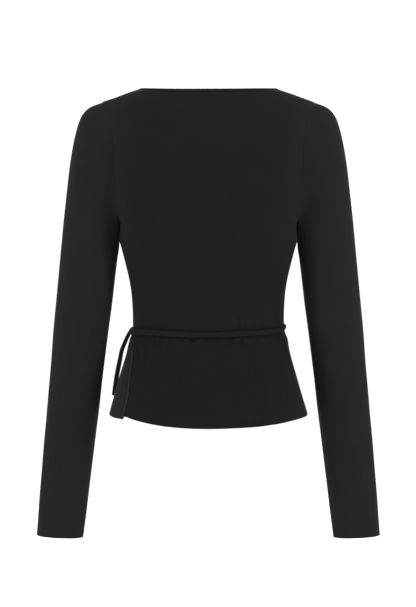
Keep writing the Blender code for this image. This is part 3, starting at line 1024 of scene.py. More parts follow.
BACK_FOLDS = (
    # Gathers that the tie leaves below itself
    Fold(12.8, -366, 12.4, -386, -2, 2.6),
    Fold(17.2, -366, 17, -390, 2.2, 2.5),
    Fold(21.5, -366, 22, -392, -2.2, 2.6),
    Fold(26, -367, 27, -392, 1.6, 3),
    Fold(35, -366, 36, -384, -1.2, 2.6),
    Fold(39.5, -366, 41, -388, 1.3, 2.8),
    Fold(-8.6, -366, -9.4, -390, -1.8, 2.7),
    Fold(-4, -366, -3.6, -386, 1.7, 2.5),
    Fold(-14, -366, -15, -392, 1.4, 3),
    Fold(3, -366, 4, -398, -1.2, 3.6),
    Fold(7.5, -366, 8, -390, 1.1, 3),
    Fold(-26, -366, -28, -396, -1.6, 3.2),
    Fold(-31, -366, -34, -404, 1.3, 3.6),
    Fold(-39, -366, -42, -398, -1.2, 3.4),
    # Crease and short ridge beside the free edge
    Fold(-51.5, -406, -66, -362, -3.2, 3, 0, 0.2),
    Fold(-46.5, -402, -51.5, -380, 1.9, 2.2, 0, 0.3),
    # Flutes and streaks further down
    Fold(25, -368, 29.5, -458, -1.8, 4.6, 0, 0.2),
    Fold(32, -370, 36, -458, 1.8, 5, 0, 0.2),
    Fold(-48, -372, -42, -430, -1.3, 3.6, 0, 0.3),
    Fold(-28, -386, -24.5, -462, 2, 5.5, 0, 0.3),
    Fold(-18, -400, -15, -470, -1.4, 5, 0, 0.3),
    Fold(57, -428, 59, -468, 1.6, 3, 0, 0.3),
    Fold(65, -372, 69, -440, -1.3, 5, 0, 0.3),
    Fold(73, -372, 76, -432, 1.3, 5, 0, 0.3),
    Fold(19.2, -502, 19.6, -464, 2.4, 2.2, 0, 0.05),
    Fold(27, -500, 28, -450, -1.4, 4, 0, 0.1),
    Fold(-38, -498, -33, -440, 1.4, 5, 0, 0.1),
    # Gathers above the tie
    Fold(-13, -360, -11, -327, -1.4, 3.2),
    Fold(-20, -360, -22, -320, 1.2, 4),
    Fold(6, -361, 7, -335, 1.2, 3.2),
    Fold(20, -360, 17, -318, -1.5, 3.6),
    Fold(27, -359, 28, -314, 1.2, 4.2),
    Fold(40, -358, 37, -322, -1.3, 4),
    Fold(50, -357, 44, -302, -1, 7),
    Fold(-52, -359, -46, -302, -1, 7),
    # Pulls from the sides of the waist, from the underarms and across the shoulders
    Fold(83, -348, 40, -312, -0.9, 7, 4),
    Fold(84, -340, 50, -288, 0.8, 7, 4),
    Fold(-84, -352, -44, -318, -0.8, 7, -4),
    Fold(84, -222, 50, -130, -1.4, 9, 5),
    Fold(80, -214, 62, -112, 1.1, 9, 4),
    Fold(87, -236, 44, -176, 1, 11, 6),
    Fold(-84, -222, -52, -134, -1.3, 9, -5),
    Fold(-80, -214, -64, -116, 1, 9, -4),
    Fold(-87, -236, -46, -180, 0.9, 11, -6),
    Fold(70, -52, 30, -78, -0.9, 14, 4),
    Fold(-70, -52, -32, -80, -0.8, 14, -4),
)


@dataclass
class BackPanel:
    """The back: one panel from shoulder to hem, shaped at the waist and flared below it."""

    form: BodyForm
    rows: RowPlan
    roll: SeamRoll
    slit: Slit
    columns: int = 221
    slit_draw: float = 2.6  # degrees that the edge draws back at the slit
    tie_press: float = 1.8 * MM  # how far the tie presses the cloth in

    def grid(self) -> PanelGrid:
        """The panel's cloth."""
        form, low_rows, shares = self.form, self.rows.low()[:, None], self.rows.shares()[:, None]
        columns = form.even_angles(-SIDE_SEAM, SIDE_SEAM, self.columns)
        right_edge = SIDE_SEAM - self.slit_draw * self.slit.share(low_rows)
        low = np.where(columns > 0, columns * right_edge / SIDE_SEAM, columns)
        level = low_rows - BACK_HEM.read("drop", low) * form.down_skirt(low_rows, form.sag_power)
        bottom = form.ring_point(low, level, True, level)
        top_height = form.neckline(form.across_at_top(columns))
        top = form.ring_point(columns, form.raised(top_height, shares), True, form.raised(form.tip_z, shares))
        flat = np.concatenate([bottom, top])
        angles = np.concatenate([low, columns + 0 * shares])
        normals = grid_normals(flat, out_of_body(flat))
        up = flat[..., 2]
        lift = flute_lift(angles, up, form) + drape(BACK_FOLDS, angles, up, form.radius) + rippled(angles, up)
        lift = lift - self.tie_press * TieGroove().share(angles, up) - STRIP_PRESS * under_strip(angles, up)
        skin = flat + normals * (lift - self.seams(flat))[..., None]
        return PanelGrid(skin, settle(grid_normals(skin, normals), (0, -1)), angles, self.rows.heights(), flat)

    def seams(self, flat: Array) -> Array:
        """How far the cloth draws in beside the side, armhole and shoulder seams."""
        roll = self.roll
        past_neck = ease((np.abs(flat[-1, :, 0]) - self.form.neck_x) / roll.neck_fade)
        sewn = 1 - self.slit.share(self.rows.heights())[:, None]
        sides = roll.furrow(run_lengths(flat, 1)) + roll.furrow(from_end(flat, 1)) * sewn
        return sides * roll.by_row(self.rows) + roll.furrow(from_end(flat, 0)) * past_neck * roll.at_armhole


def out_of_body(points: Array) -> Array:
    """Vectors that point out of the body at its points, and a little up where it closes over at the shoulders."""
    return points * (1, 1, 0) + (0, 0, 20 * MM)


@dataclass(frozen=True)
class Gather:
    """The bump of cloth that the tie gathers at the right side seam: a bell round the body and a bell up it."""

    rise: float = 2.2 * MM
    angle: float = 90.0
    half_angle: float = 14.0
    height: float = -373 * MM
    half_height: float = 13 * MM

    def lift(self, angles: Array, heights: Array) -> Array:
        """How far the bump stands out."""
        around = bell(angles - self.angle, self.half_angle)
        return self.rise * around * bell(heights - self.height, self.half_height)


def flute_lift(angles: Array, heights: Array, form: BodyForm) -> Array:
    """How far the flutes, bells round the body that grow towards the hem, and the gathered bump stand out."""
    flutes = sum(proud * MM * bell(within_half_turn(angles - middle), half) for middle, half, proud in FLUTES)
    return flutes * form.down_skirt(heights, form.flute_power) + Gather().lift(angles, heights)


STRIP_PRESS = 0.7 * MM  # how far the cloth gives way under the outer front's end
STRIP_STEP = 1.5  # degrees inside the free edge at which it has wholly given way


def under_strip(angles: Array, heights: Array) -> Array:
    """Share by which a place lies under the outer front's end, which wraps on to the back of the skirt.

    It eases from 0 at the free edge to 1 at a step inside it. Angles run from the middle of the back.
    """
    edge = FREE_EDGE.read("outer", heights) - FULL_TURN
    return ease((edge - angles) / STRIP_STEP)


@dataclass(frozen=True)
class TieGroove:
    """Where the tie lies on the cloth, from the right side seam round the back to the knot."""

    right_end: float = 90.0
    right_fade: float = 6.0
    left_end: float = -114.0
    left_fade: float = 8.0
    half_width: float = 6 * MM

    def share(self, angles: Array, heights: Array) -> Array:
        """Share by which a place lies under the tie: a bell across its course, eased to nothing at both ends."""
        course, level = TIE_COURSE.values["angle"][::-1], TIE_COURSE.values["height"][::-1]
        covered = ease((angles - self.left_end) / self.left_fade)
        covered = covered * ease((self.right_end - angles) / self.right_fade)
        return bell(heights - np.interp(angles, course, level), self.half_width) * covered


SEAM_LEAN = 0.25  # share of the front-to-back lean that a side seam's normals keep


def settle(normals: Array, seam_columns: tuple[int, ...]) -> Array:
    """The normals with those of the seam columns laid nearer to the plane of the side seams."""
    normals = normals.copy()
    for column in seam_columns:
        normals[:, column, 1] *= SEAM_LEAN
    return unit(normals)


def knit_uv(points: Array, angles: Array, radius: float) -> Array:
    """Knit coordinates in metres: round the form by angle, and up it by the mean length of the columns."""
    up = run_lengths(points, 0).mean(axis=1)
    around = np.radians(angles) * radius
    return np.stack([around, np.broadcast_to(up[:, None], around.shape)], axis=-1)


# Free edge of each front, in degrees from the middle of the back through the front's own side seam at 90 and the
# middle of the front at 180, to the other side seam at 270 and on
FREE_EDGE = Table(
    ("height", "outer", "under"),
    [
        (-510, 303, 262),
        (-484, 304.2, 262),
        (-457, 304.7, 262),
        (-434, 302.4, 262),
        (-414, 299.2, 262.3),
        (-400, 298, 262.6),
        (-388, 295.5, 263),
        (-380, 290, 263.5),
        (-373, 280.5, 264),
        (-368, 273, 264),
        (-363, 266, 264),
        (-352, 254, 254),
        (-340, 240.5, 240.5),
        (-320, 227, 227),
        (-300, 215.5, 215.5),
        (-250, 195, 195),
        (-195, 180, 180),
        (-150, 170.5, 170.5),
        (-100, 160, 160),
        (-50, 150.5, 150.5),
        (0, BodyForm().neck_angle, BodyForm().neck_angle),
    ],
    ("outer", "under"),
)

# How far each front's hem hangs below the side seam's, and how far its layer stands out from the form
FRONT_HEM = Table(
    ("angle", "outer", "under"),
    [
        (90, 3.5, -2.5),
        (130, 6, 1),
        (180, 8.5, 5),
        (240, 7, 2.5),
        (270, 3.4, 0.5),
        (285, 4, 0.5),
        (296, 4.4, 0.5),
        (301.3, 4, 0.5),
        (304.8, 1.2, 0.5),
    ],
    ("angle",),
)
LAYER_OUT = Table(
    ("angle", "outer", "under"),
    [
        (90, 0, 0),
        (102, 0, 0),
        (180, 1.5, -1.5),
        (205, 1.9, -1.9),
        (252, 2.4, -2.6),
        (262, 1.7, -2.6),
        (273, 1, -2.6),
        (306, 0.75, -2.6),
    ],
    ("angle",),
)

# Pulls from the underarm and the shoulder, in both fronts
FRONT_PULLS = (
    Fold(98, -214, 118, -118, 1.1, 9, -3),
    Fold(94, -238, 140, -196, 1, 11, -6),
    Fold(112, -70, 140, -120, -0.8, 12, -4),
)
OUTER_FOLDS = (
    *FRONT_PULLS,
    Fold(243, -350, 168, -298, 1.9, 6, -5),
    Fold(243, -352, 150, -330, -1.5, 6.5, -3),
    Fold(240, -354, 158, -352, 1.3, 7),
    Fold(240, -346, 186, -268, -1.7, 6, -4),
    Fold(238, -344, 196, -256, 1.5, 6, -4),
    Fold(238, -368, 172, -388, -1.3, 7, 3),
    Fold(244, -372, 200, -425, 1.6, 7, 2),
    Fold(250, -374, 220, -440, -1.5, 7.5),
    Fold(258, -374, 240, -455, 1.4, 8),
    Fold(266, -372, 262, -440, -0.9, 6),
    Fold(271, -380, 273, -436, -0.8, 12, 0, 0.3),
    Fold(96, -222, 128, -150, -1.4, 9, -5),
    Fold(96, -350, 140, -312, -1, 8, -5),
    Fold(96, -342, 134, -282, 0.9, 8, -5),
    Fold(96, -366, 128, -400, -0.9, 8, 3),
)
UNDER_FOLDS = (
    *FRONT_PULLS,
    Fold(240, -352, 158, -322, 0.9, 8, -3),
    Fold(240, -350, 176, -290, -0.9, 8, -3),
    Fold(96, -222, 128, -150, -1.3, 9, -5),
    Fold(96, -346, 138, -300, -0.9, 8, -5),
    Fold(100, -366, 130, -402, -0.9, 8, 3),
)


@dataclass
class FrontPanel:
    """A front that wraps across to the other side, with its side seam at +X."""

    form: BodyForm
    rows: RowPlan
    roll: SeamRoll
    layer: Layer
    edge: TurnedEdge
    folds: tuple[Fold, ...]
    slit: Slit | None = None
    slit_draw: float = 1.3  # degrees that the side seam draws back at the slit
    columns: int = 132
    tie_press: float = 0.5 * MM
    parted_top: float = -20 * MM  # height at which the two layers start to part
    parted_over: float = 110 * MM  # height over which they do
    curl: float = 1.0 * MM  # how far the ridge beside the free edge stands out
    curl_inset: float = 2.3 * MM
    curl_half_width: float = 1.9 * MM
    curl_top: float = -372 * MM
    curl_fade: float = 18 * MM  # height over which it grows from nothing at its top
    trough: float = 0.6 * MM  # how far the cloth sinks beside the ridge
    trough_inset: float = 5.6 * MM
    laid_down: float = 0.25 * MM
    laid_half_width: float = 1.2 * MM
    painted_light_end: float = 0.5  # painted light: how much lighter the end that wraps on to the back of the skirt is painted
    painted_light_from: float = 266.0  # angle at which that starts
    painted_light_over: float = 12.0  # degrees over which it grows
    painted_highlight_edge: float = 0.9  # painted highlight: how much more its folded edge is painted lighter
    painted_highlight_inset: float = 1.2 * MM
    painted_highlight_half: float = 2.7 * MM
    # Half-width of the painted shade in the trough beside the ridge
    painted_shade_half: float = 1.8 * MM

    def edge_angles(self) -> Array:
        """Angle of the free edge at each row."""
        return FREE_EDGE.read(self.layer.value, self.rows.heights())

    def slit_share(self) -> Array:
        """Share by which each row of the side seam lies in its slit, if it has one."""
        heights = self.rows.heights()[:, None]
        return self.slit.share(heights) if self.slit else 0 * heights

    def surface(self, angles: Array) -> Array:
        """Points of the front's form at angles given row by row."""
        form, low_count = self.form, len(self.rows.low())
        low, high = angles[:low_count], angles[low_count:]
        low_rows, shares = self.rows.low()[:, None], self.rows.shares()[:, None]
        level = low_rows - FRONT_HEM.read(self.layer.value, low) * form.down_skirt(low_rows, form.sag_power)
        bottom = form.ring_point(low, level, low > FAR_SEAM, level)
        neck_share = (high - SIDE_SEAM) / (self.edge_angles()[low_count:, None] - SIDE_SEAM)
        at_top = form.across_at_top(SIDE_SEAM + neck_share * (form.neck_angle - SIDE_SEAM))
        ridge = SHOULDER_RIDGE.read("height", at_top)
        top = form.ring_point(high, form.raised(ridge, shares), False, form.raised(form.tip_z, shares))
        return np.concatenate([bottom, top])

    def column_angles(self) -> Array:
        """Angles of every column in every row: even shares of the width, then the free edge's insets."""
        last = self.edge_angles()[:, None]
        slope = np.linalg.norm(self.surface(last) - self.surface(last - 1.0), axis=-1)
        insets = self.edge.insets()[::-1] / slope
        first = SIDE_SEAM + self.slit_draw * self.slit_share()
        inner = last - insets[:, :1]
        even = (self.form.even_angles(SIDE_SEAM, FAR_SEAM, self.columns) - SIDE_SEAM) / (FAR_SEAM - SIDE_SEAM)
        return np.concatenate([first + even * (inner - first), (last - insets)[:, 1:]], axis=1)

    def beside_edge(self, flat: Array) -> tuple[Array, Array]:
        """Distance from the free edge, and the share by which a place is below the top of its curl."""
        return from_end(flat, 1), ease((self.curl_top - flat[..., 2]) / self.curl_fade)

    def rolled_edge(self, flat: Array) -> Array:
        """How the free edge below the waist curls: a ridge just inside it, and the edge itself laid down."""
        from_edge, shown = self.beside_edge(flat)
        ridge = self.curl * bell(from_edge - self.curl_inset, self.curl_half_width)
        trough = self.trough * bell(from_edge - self.trough_inset, self.curl_half_width)
        return shown * (ridge - trough - self.laid_down * bell(from_edge, self.laid_half_width))

    def painted_light_on_end(self, flat: Array, angles: Array) -> Array:
        """Painted light on the end: an eased step round the body, a highlight bell at its edge, and shade in the
        trough.
        """
        from_edge, shown = self.beside_edge(flat)
        end = self.painted_light_end * ease((angles - self.painted_light_from) / self.painted_light_over)
        edge = self.painted_highlight_edge * bell(from_edge - self.painted_highlight_inset, self.painted_highlight_half)
        return shown * (end + edge - self.painted_light_end * bell(from_edge - self.trough_inset, self.painted_shade_half))

    def grid(self) -> PanelGrid:
        """The panel's cloth, with its free edge as the last column."""
        form, roll, outer = self.form, self.roll, self.layer is Layer.OUTER
        angles = self.column_angles()
        flat = self.surface(angles)
        normals = grid_normals(flat, out_of_body(flat))
        shown = angles if outer else -angles
        up = flat[..., 2]
        parted = ease((self.parted_top - up) / self.parted_over)
        lift = LAYER_OUT.read(self.layer.value, angles) * parted + flute_lift(shown, up, form)
        lift = lift + drape(self.folds, angles, up, form.radius) + rippled(shown, up)
        if outer:
            lift = lift - self.tie_press * TieGroove().share(angles - FULL_TURN, up) + self.rolled_edge(flat)
        else:
            lift = lift - STRIP_PRESS * under_strip(shown, up)
        lift = lift - roll.furrow(run_lengths(flat, 1)) * (1 - self.slit_share()) * roll.by_row(self.rows)
        lift = lift - roll.furrow(from_end(flat, 0)) * roll.at_armhole
        skin = flat + normals * lift[..., None]
        facing = settle(grid_normals(skin, normals), (0,))
        # Painted light and shade on the end that wraps on to the back of the skirt
        painted_light = self.painted_light_on_end(flat, angles) if outer else None
        return PanelGrid(skin, facing, angles, self.rows.heights(), flat, painted_light)


# --- Sleeves ---

# From the armhole to the cuff, in millimetres: the points of each section on the outer and the inner side of the
# arm, its depth behind and before its middle, and how far forward that middle is
ARM_SECTIONS = Table(
    ("section", "outer_x", "outer_z", "inner_x", "inner_z", "back", "front", "forward"),
    [
        (0, 158.35, -20.4, 133.9, -200, 52, 47, 0),
        (1, 178.7, -29.5, 133.5, -211, 49.5, 47, 0),
        (2, 189.8, -42.5, 132.7, -221, 47.8, 46.5, 0),
        (3, 199, -69.8, 134, -236, 46.6, 46, 0),
        (4, 205.9, -105.8, 137.2, -262, 45.8, 45, 0),
        (5, 211.9, -153.8, 142.1, -300, 45, 44, 0),
        (6, 218.1, -214, 147.2, -343, 43.5, 42.5, 0.5),
        (7, 226.5, -297.8, 154.2, -397, 40, 40, 2),
        (8, 235.2, -393.8, 163.3, -468, 36, 36, 5),
        (9, 246, -508, 174.1, -556, 31.5, 31.5, 9),
        (10, 260.1, -672.5, 189.3, -675.2, 27.5, 27, 14),
    ],
    ("section",),
)

# Turn from the outer side of the arm over its back, and distance from the armhole, in degrees and millimetres
ARM_FOLDS = (
    Fold(178, 14, 120, 92, -1.3, 7, 4),
    Fold(172, 26, 106, 128, 1.2, 8, 5),
    Fold(182, 34, 128, 165, -1, 9, 5),
    Fold(186, 12, 246, 90, -1.3, 7, -4),
    Fold(190, 28, 262, 136, 1.1, 8, -5),
    Fold(60, 8, 66, 90, -0.6, 9, 0, 0.3),
    Fold(290, 8, 280, 84, -0.6, 9, 0, 0.3),
    Fold(250, 286, 196, 262, -1.3, 7, 5, 0.3),
    Fold(262, 302, 190, 290, 1.2, 7, 4, 0.3),
    Fold(256, 318, 188, 318, -1.3, 7, 0, 0.3),
    Fold(264, 334, 196, 346, 1.1, 7.5, -4, 0.3),
    Fold(250, 350, 190, 376, -1, 8, -5, 0.3),
    Fold(100, 300, 168, 286, -0.7, 8, -4, 0.3),
    Fold(96, 330, 166, 326, 0.6, 8, -3, 0.3),
    Fold(20, 420, 80, 470, -0.6, 10, 4, 0.3),
    Fold(150, 470, 196, 520, 0.7, 10, 4, 0.3),
    Fold(330, 500, 268, 540, -0.7, 9, -4, 0.3),
    Fold(110, 560, 180, 585, -0.6, 8, 3, 0.3),
    Fold(240, 585, 180, 600, 0.6, 8, 3, 0.3),
)


@dataclass
class Sleeve:
    """A long fitted sleeve: a tube from the armhole's own edge to a turned cuff."""

    form: BodyForm
    rows: RowPlan
    roll: SeamRoll
    cuff: TurnedEdge
    rings: int = 150
    cap_fades: float = 0.45  # share of the sleeve over which the armhole's curve becomes the arm's oval
    even_by: float = 0.5  # share of the sleeve by which its columns are evenly spaced round the arm
    tuck: float = 0.25 * MM  # how far its edge is tucked under the panels' edges
    body_gap: float = 0.8 * MM  # how near the underarm's cloth comes to the body
    narrow_gap: float = 5 * MM  # half-width of the bell by which a wider gap draws it in less
    parting: float = -231 * MM  # height below which the arm stands clear of the body
    fade: float = 12 * MM  # distance over which what starts at the armhole, the parting or the seam is full
    inner_power: float = 0.734  # squares the inner side of the sections; 1 makes it an oval
    radius: float = 46 * MM  # what one radian round the arm is worth to the folds and the knit

    def oval(self, section: Array, turn: Array) -> Array:
        """Points of the arm's own sections.

        Each lies from the inner to the outer point of its section by half of one plus the turn's cosine, and stands
        behind or before it by the depth times the sine. On the inner half, next to the body, the sine and the
        cosine are raised to a power under one, which squares it.

        Args:
            section: place in the table of sections.
            turn: radians from the outer side over the back of the arm.

        Returns:
            The points.
        """
        outer_x, outer_z, inner_x, inner_z, behind, before, forward = ARM_SECTIONS.read_all(section)
        power = np.where(np.cos(turn) < 0, self.inner_power, 1)
        sine = signed_power(np.sin(turn), power)
        outward = (1 + signed_power(np.cos(turn), power)) / 2
        x = inner_x + outward * (outer_x - inner_x)
        y = forward - np.where(sine > 0, behind, before) * sine
        z = inner_z + outward * (outer_z - inner_z)
        return np.stack([x, y, z], axis=-1)

    def drawn_to_body(self, points: Array) -> Array:
        """How far in the underarm's cloth comes to lie against the body's side.

        It takes up the whole of a narrow gap and little of a wide one, by a bell of the gap's width. It eases out
        above the place where arm and body part, and beside the underarm seam.

        Args:
            points: the sleeve's points.

        Returns:
            Metres towards the middle.
        """
        y, height = points[..., 1], points[..., 2]
        gap = np.clip(points[..., 0] - self.form.side_wall(y, height) - self.body_gap, 0, None)
        share = ease((height - self.parting) / self.fade) * ease(np.abs(y) / self.fade)
        return gap * bell(gap, self.narrow_gap) * share

    def armhole(self, back: Array, front: Array) -> Array:
        """The panels' edges at the armhole as one loop: shoulder, down the back, underarm, up the front."""
        count = len(self.rows.shares())
        tip = back[-1, -1] * (1, 0, 1)
        pit = back[-count - 1, -1] * (1, 0, 1)
        loop = np.concatenate([[tip], back[-2 : -count - 1 : -1, -1], [pit], front[-count:-1, 0]])
        return loop - np.array([self.tuck, 0, 0])

    def grid(self, back: PanelGrid, front: PanelGrid) -> tuple[Array, Array, Array]:
        """The right sleeve's cloth, its rings from the armhole to the cuff's fold.

        Args:
            back: the back panel.
            front: the right front.

        Returns:
            Points, normals and turn in degrees.
        """
        count = len(self.rows.shares())
        loop = self.armhole(back.flat, front.flat)
        steps = np.linalg.norm(np.roll(loop, -1, axis=0) - loop, axis=1)
        behind = np.concatenate([[0], np.cumsum(steps[:count])])
        before = np.concatenate([[0], np.cumsum(steps[count:])])
        cut = np.concatenate([behind / behind[-1], 1 + before[1:-1] / before[-1]]) * math.pi
        even = np.arange(2 * count) * math.pi / count
        last = ARM_SECTIONS.key[-1]
        step = last / 100
        slope = np.linalg.norm(self.oval(last + 0 * even, even) - self.oval(last - step + 0 * even, even), axis=-1)
        insets = self.cuff.insets()[::-1, None] * step / slope
        share = np.linspace(0, 1, self.rings)[:, None]
        section = np.concatenate([share * (last - insets[:1]), (last - insets)[1:]])
        whole = section / last
        turn = cut + (even - cut) * np.clip(whole / self.even_by, 0, 1)
        fade = (np.clip(1 - whole / self.cap_fades, 0, 1) ** 2)[..., None]
        flat = self.oval(section, turn) + fade * (loop - self.oval(0 * section, cut + 0 * section))
        flat[..., 0] -= self.drawn_to_body(flat)
        normals = grid_normals(flat, flat - flat.mean(axis=1, keepdims=True), True)
        along, degrees = run_lengths(flat, 0), np.degrees(turn)
        # Folds fade out at the armhole, where the sleeve keeps to the panels' edge
        lift = (drape(ARM_FOLDS, degrees, along, self.radius) + rippled(degrees, along)) * ease(along / self.fade)
        drawn_in = (self.armhole(back.skin, front.skin) - loop) * bell(along, self.roll.half_width)[..., None]
        skin = flat + normals * lift[..., None] + drawn_in
        return skin, grid_normals(skin, normals, True), degrees


# --- Bindings, stitching and tie ---


@dataclass(frozen=True)
class Binding:
    """A narrow strip folded over a panel's edge, with one row of stitches near its inner side.

    Its section is a U: inset is the distance from the panel's edge, negative past it, and lift the height over the
    panel's outer face.
    """

    width: float = 4.5 * MM
    lift: float = 0.62 * MM
    thickness: float = 0.45 * MM
    stitch_inset: float = 3.3 * MM
    beyond_reach: float = 1.5 * MM  # how far in the panel is read for the way out past its edge

    def section(self, depth: float) -> tuple[Array, Array]:
        """The U from its outer side to its inner one.

        Args:
            depth: how far the panel's edge reaches below its outer face.

        Returns:
            Insets and lifts in order.
        """
        middle, reach = -depth / 2, depth / 2 + self.lift
        # Outer side, from the cut edge over the dent of the stitches to the fold
        around = [
            (self.width, self.lift - 0.12 * MM),
            (self.width - 0.35 * MM, self.lift),
            (self.stitch_inset + 0.5 * MM, self.lift + 0.03 * MM),
            (self.stitch_inset, self.lift - 0.1 * MM),
            (self.stitch_inset - 0.6 * MM, self.lift + 0.05 * MM),
            (1.6 * MM, self.lift + 0.14 * MM),
        ]
        # Half an oval round the panel's edge, then the inner side
        for turn in (90, 60, 30, 0, -30, -60, -90):
            past_edge = 0.75 * reach * math.cos(math.radians(turn))
            around.append((0.35 * MM - past_edge, middle + (reach + 0.08 * MM) * math.sin(math.radians(turn))))
        around += [(1.6 * MM, middle - reach), (self.width, middle - reach)]
        insets, lifts = np.array(around).T
        return insets, lifts

    def grid(self, lines: Array, normals: Array, depth: float) -> tuple[Array, Array, Array]:
        """The strip's cloth.

        Args:
            lines: the panel's points, line by line along the edge, each from the edge inwards.
            normals: the panel's normals at those points.
            depth: how far the panel's edge reaches below its outer face.

        Returns:
            Points, outward normals and knit coordinates.
        """
        insets, lifts = self.section(depth)
        both = np.concatenate([lines, normals], axis=-1)
        laid = slide_in(both, np.maximum(insets, 0))
        base, up = laid[..., :3], unit(laid[..., 3:])
        beyond = unit(lines[:, :1] - slide_in(lines, np.array([self.beyond_reach])))
        points = base + up * lifts[None, :, None] + beyond * np.maximum(-insets, 0)[None, :, None]
        outward = grid_normals(points, points - lines.mean(axis=1, keepdims=True))
        across = np.concatenate([[0], np.cumsum(np.hypot(np.diff(insets), np.diff(lifts)))])
        along = run_lengths(lines[None, :, 0], 1)[0]
        return points, outward, np.stack(np.meshgrid(across, along), axis=-1)


@dataclass(frozen=True)
class StitchRow:
    """A row of machine stitches: short thread loops, each a spindle that sinks into the cloth at both ends."""

    length: float = 2.3 * MM
    gap: float = 0.55 * MM
    radius: float = 0.21 * MM
    shares: tuple[float, ...] = (-1, -0.75, -0.35, 0.35, 0.75, 1)  # places of its rings, from end to end
    blunt: float = 1.04  # over 1, so that the ends keep some width
    rise: float = 0.55  # height of its middle line over the cloth, in radii
    stand: float = 0.75  # its half-height, in radii
    sink: float = 0.08 * MM
    sides: int = 6  # the ends are closed with two squares each, which takes six sides

    def build(self, name: str, path: Array, normals: Array) -> Piece:
        """Lays the stitches along a line on the cloth.

        A stitch is a spindle whose radius and height over the cloth are the root of a parabola along it.

        Args:
            name: the piece's name.
            path: points of the line.
            normals: the cloth's normals at those points.

        Returns:
            All the stitches as one object.
        """
        placed = even_points(np.concatenate([path, normals], axis=-1), self.length + self.gap)
        centres, up = placed[:, :3], unit(placed[:, 3:])
        along = unit(np.gradient(centres, axis=0))
        axes = np.stack([along, unit(np.cross(along, up)), up], axis=1)
        share = np.array(self.shares)[:, None]
        swell = self.radius * np.sqrt(np.clip(self.blunt - share**2, 0, None))
        turn = 2 * math.pi * np.arange(self.sides) / self.sides
        height = swell * (self.rise + self.stand * np.sin(turn)) - self.sink
        shape = np.stack(np.broadcast_arrays(share * self.length / 2, swell * np.cos(turn), height), axis=-1)
        points = centres[:, None] + shape.reshape(-1, 3) @ axes
        index = np.arange(shape[..., 0].size).reshape(shape.shape[:2])
        following = np.roll(index, -1, axis=1)
        around = np.stack([index[:-1], index[1:], following[1:], following[:-1]], axis=-1).reshape(-1, 4)
        ends = [index[0, [0, 1, 2, 3]], index[0, [0, 3, 4, 5]], index[-1, [3, 2, 1, 0]], index[-1, [5, 4, 3, 0]]]
        shift = np.arange(len(centres))[:, None, None] * index.size
        return mesh_object(name, points.reshape(-1, 3), (np.concatenate([around, ends]) + shift).reshape(-1, 4))


# The tie's two hanging ends, from the knot down: the middle's place, and the turn of its flat side
TAIL_BEHIND = Table(
    ("step", "x", "y", "z", "turn"),
    [
        (0, -116.4, 40, -361.2, 34),
        (1, -121, 34, -369.5, 40),
        (2, -126.3, 28.5, -382, 43),
        (3, -131.1, 26, -394.5, 44),
        (4, -133.8, 25.5, -406.5, 46),
        (5, -136.2, 26.5, -418.5, 50),
        (6, -138.2, 28, -430.5, 50),
        (7, -140.4, 30, -442.5, 48),
        (8, -142.4, 32, -454.5, 46),
        (8.7, -143.4, 33, -462.5, 46),
    ],
    ("step", "turn"),
)
TAIL_BEFORE = Table(
    ("step", "x", "y", "z", "turn"),
    [
        (0, -113.2, 46.5, -370.5, -24),
        (1, -114.6, 47.5, -378, -26),
        (2, -117, 49.5, -388, -30),
        (3, -119.6, 52, -402, -32),
        (4, -121.8, 55, -418, -32),
        (5, -124.6, 57.5, -434, -30),
        (6, -128.2, 60, -450, -28),
        (7, -132, 62.5, -466, -26),
    ],
    ("step", "turn"),
)


@dataclass(frozen=True)
class KnotTurn:
    """One turn of the tie round the knot: the flattened tube carried round an oval."""

    name: str
    reach: Pair  # the oval's half-lengths, out from the body and up
    tilt: float  # degrees that it leans about the outward axis
    slant: float  # degrees that it leans about the upward axis
    plump: float  # the tube's thickness there, as a share of the tie's

    def turned(self, points: Array) -> Array:
        """Points turned about the x axis by tilt, then about the z axis by slant."""
        a, b = math.radians(self.tilt), math.radians(self.slant)
        about_x = np.array([[1, 0, 0], [0, math.cos(a), -math.sin(a)], [0, math.sin(a), math.cos(a)]])
        about_z = np.array([[math.cos(b), -math.sin(b), 0], [math.sin(b), math.cos(b), 0], [0, 0, 1]])
        return points @ (about_z @ about_x).T


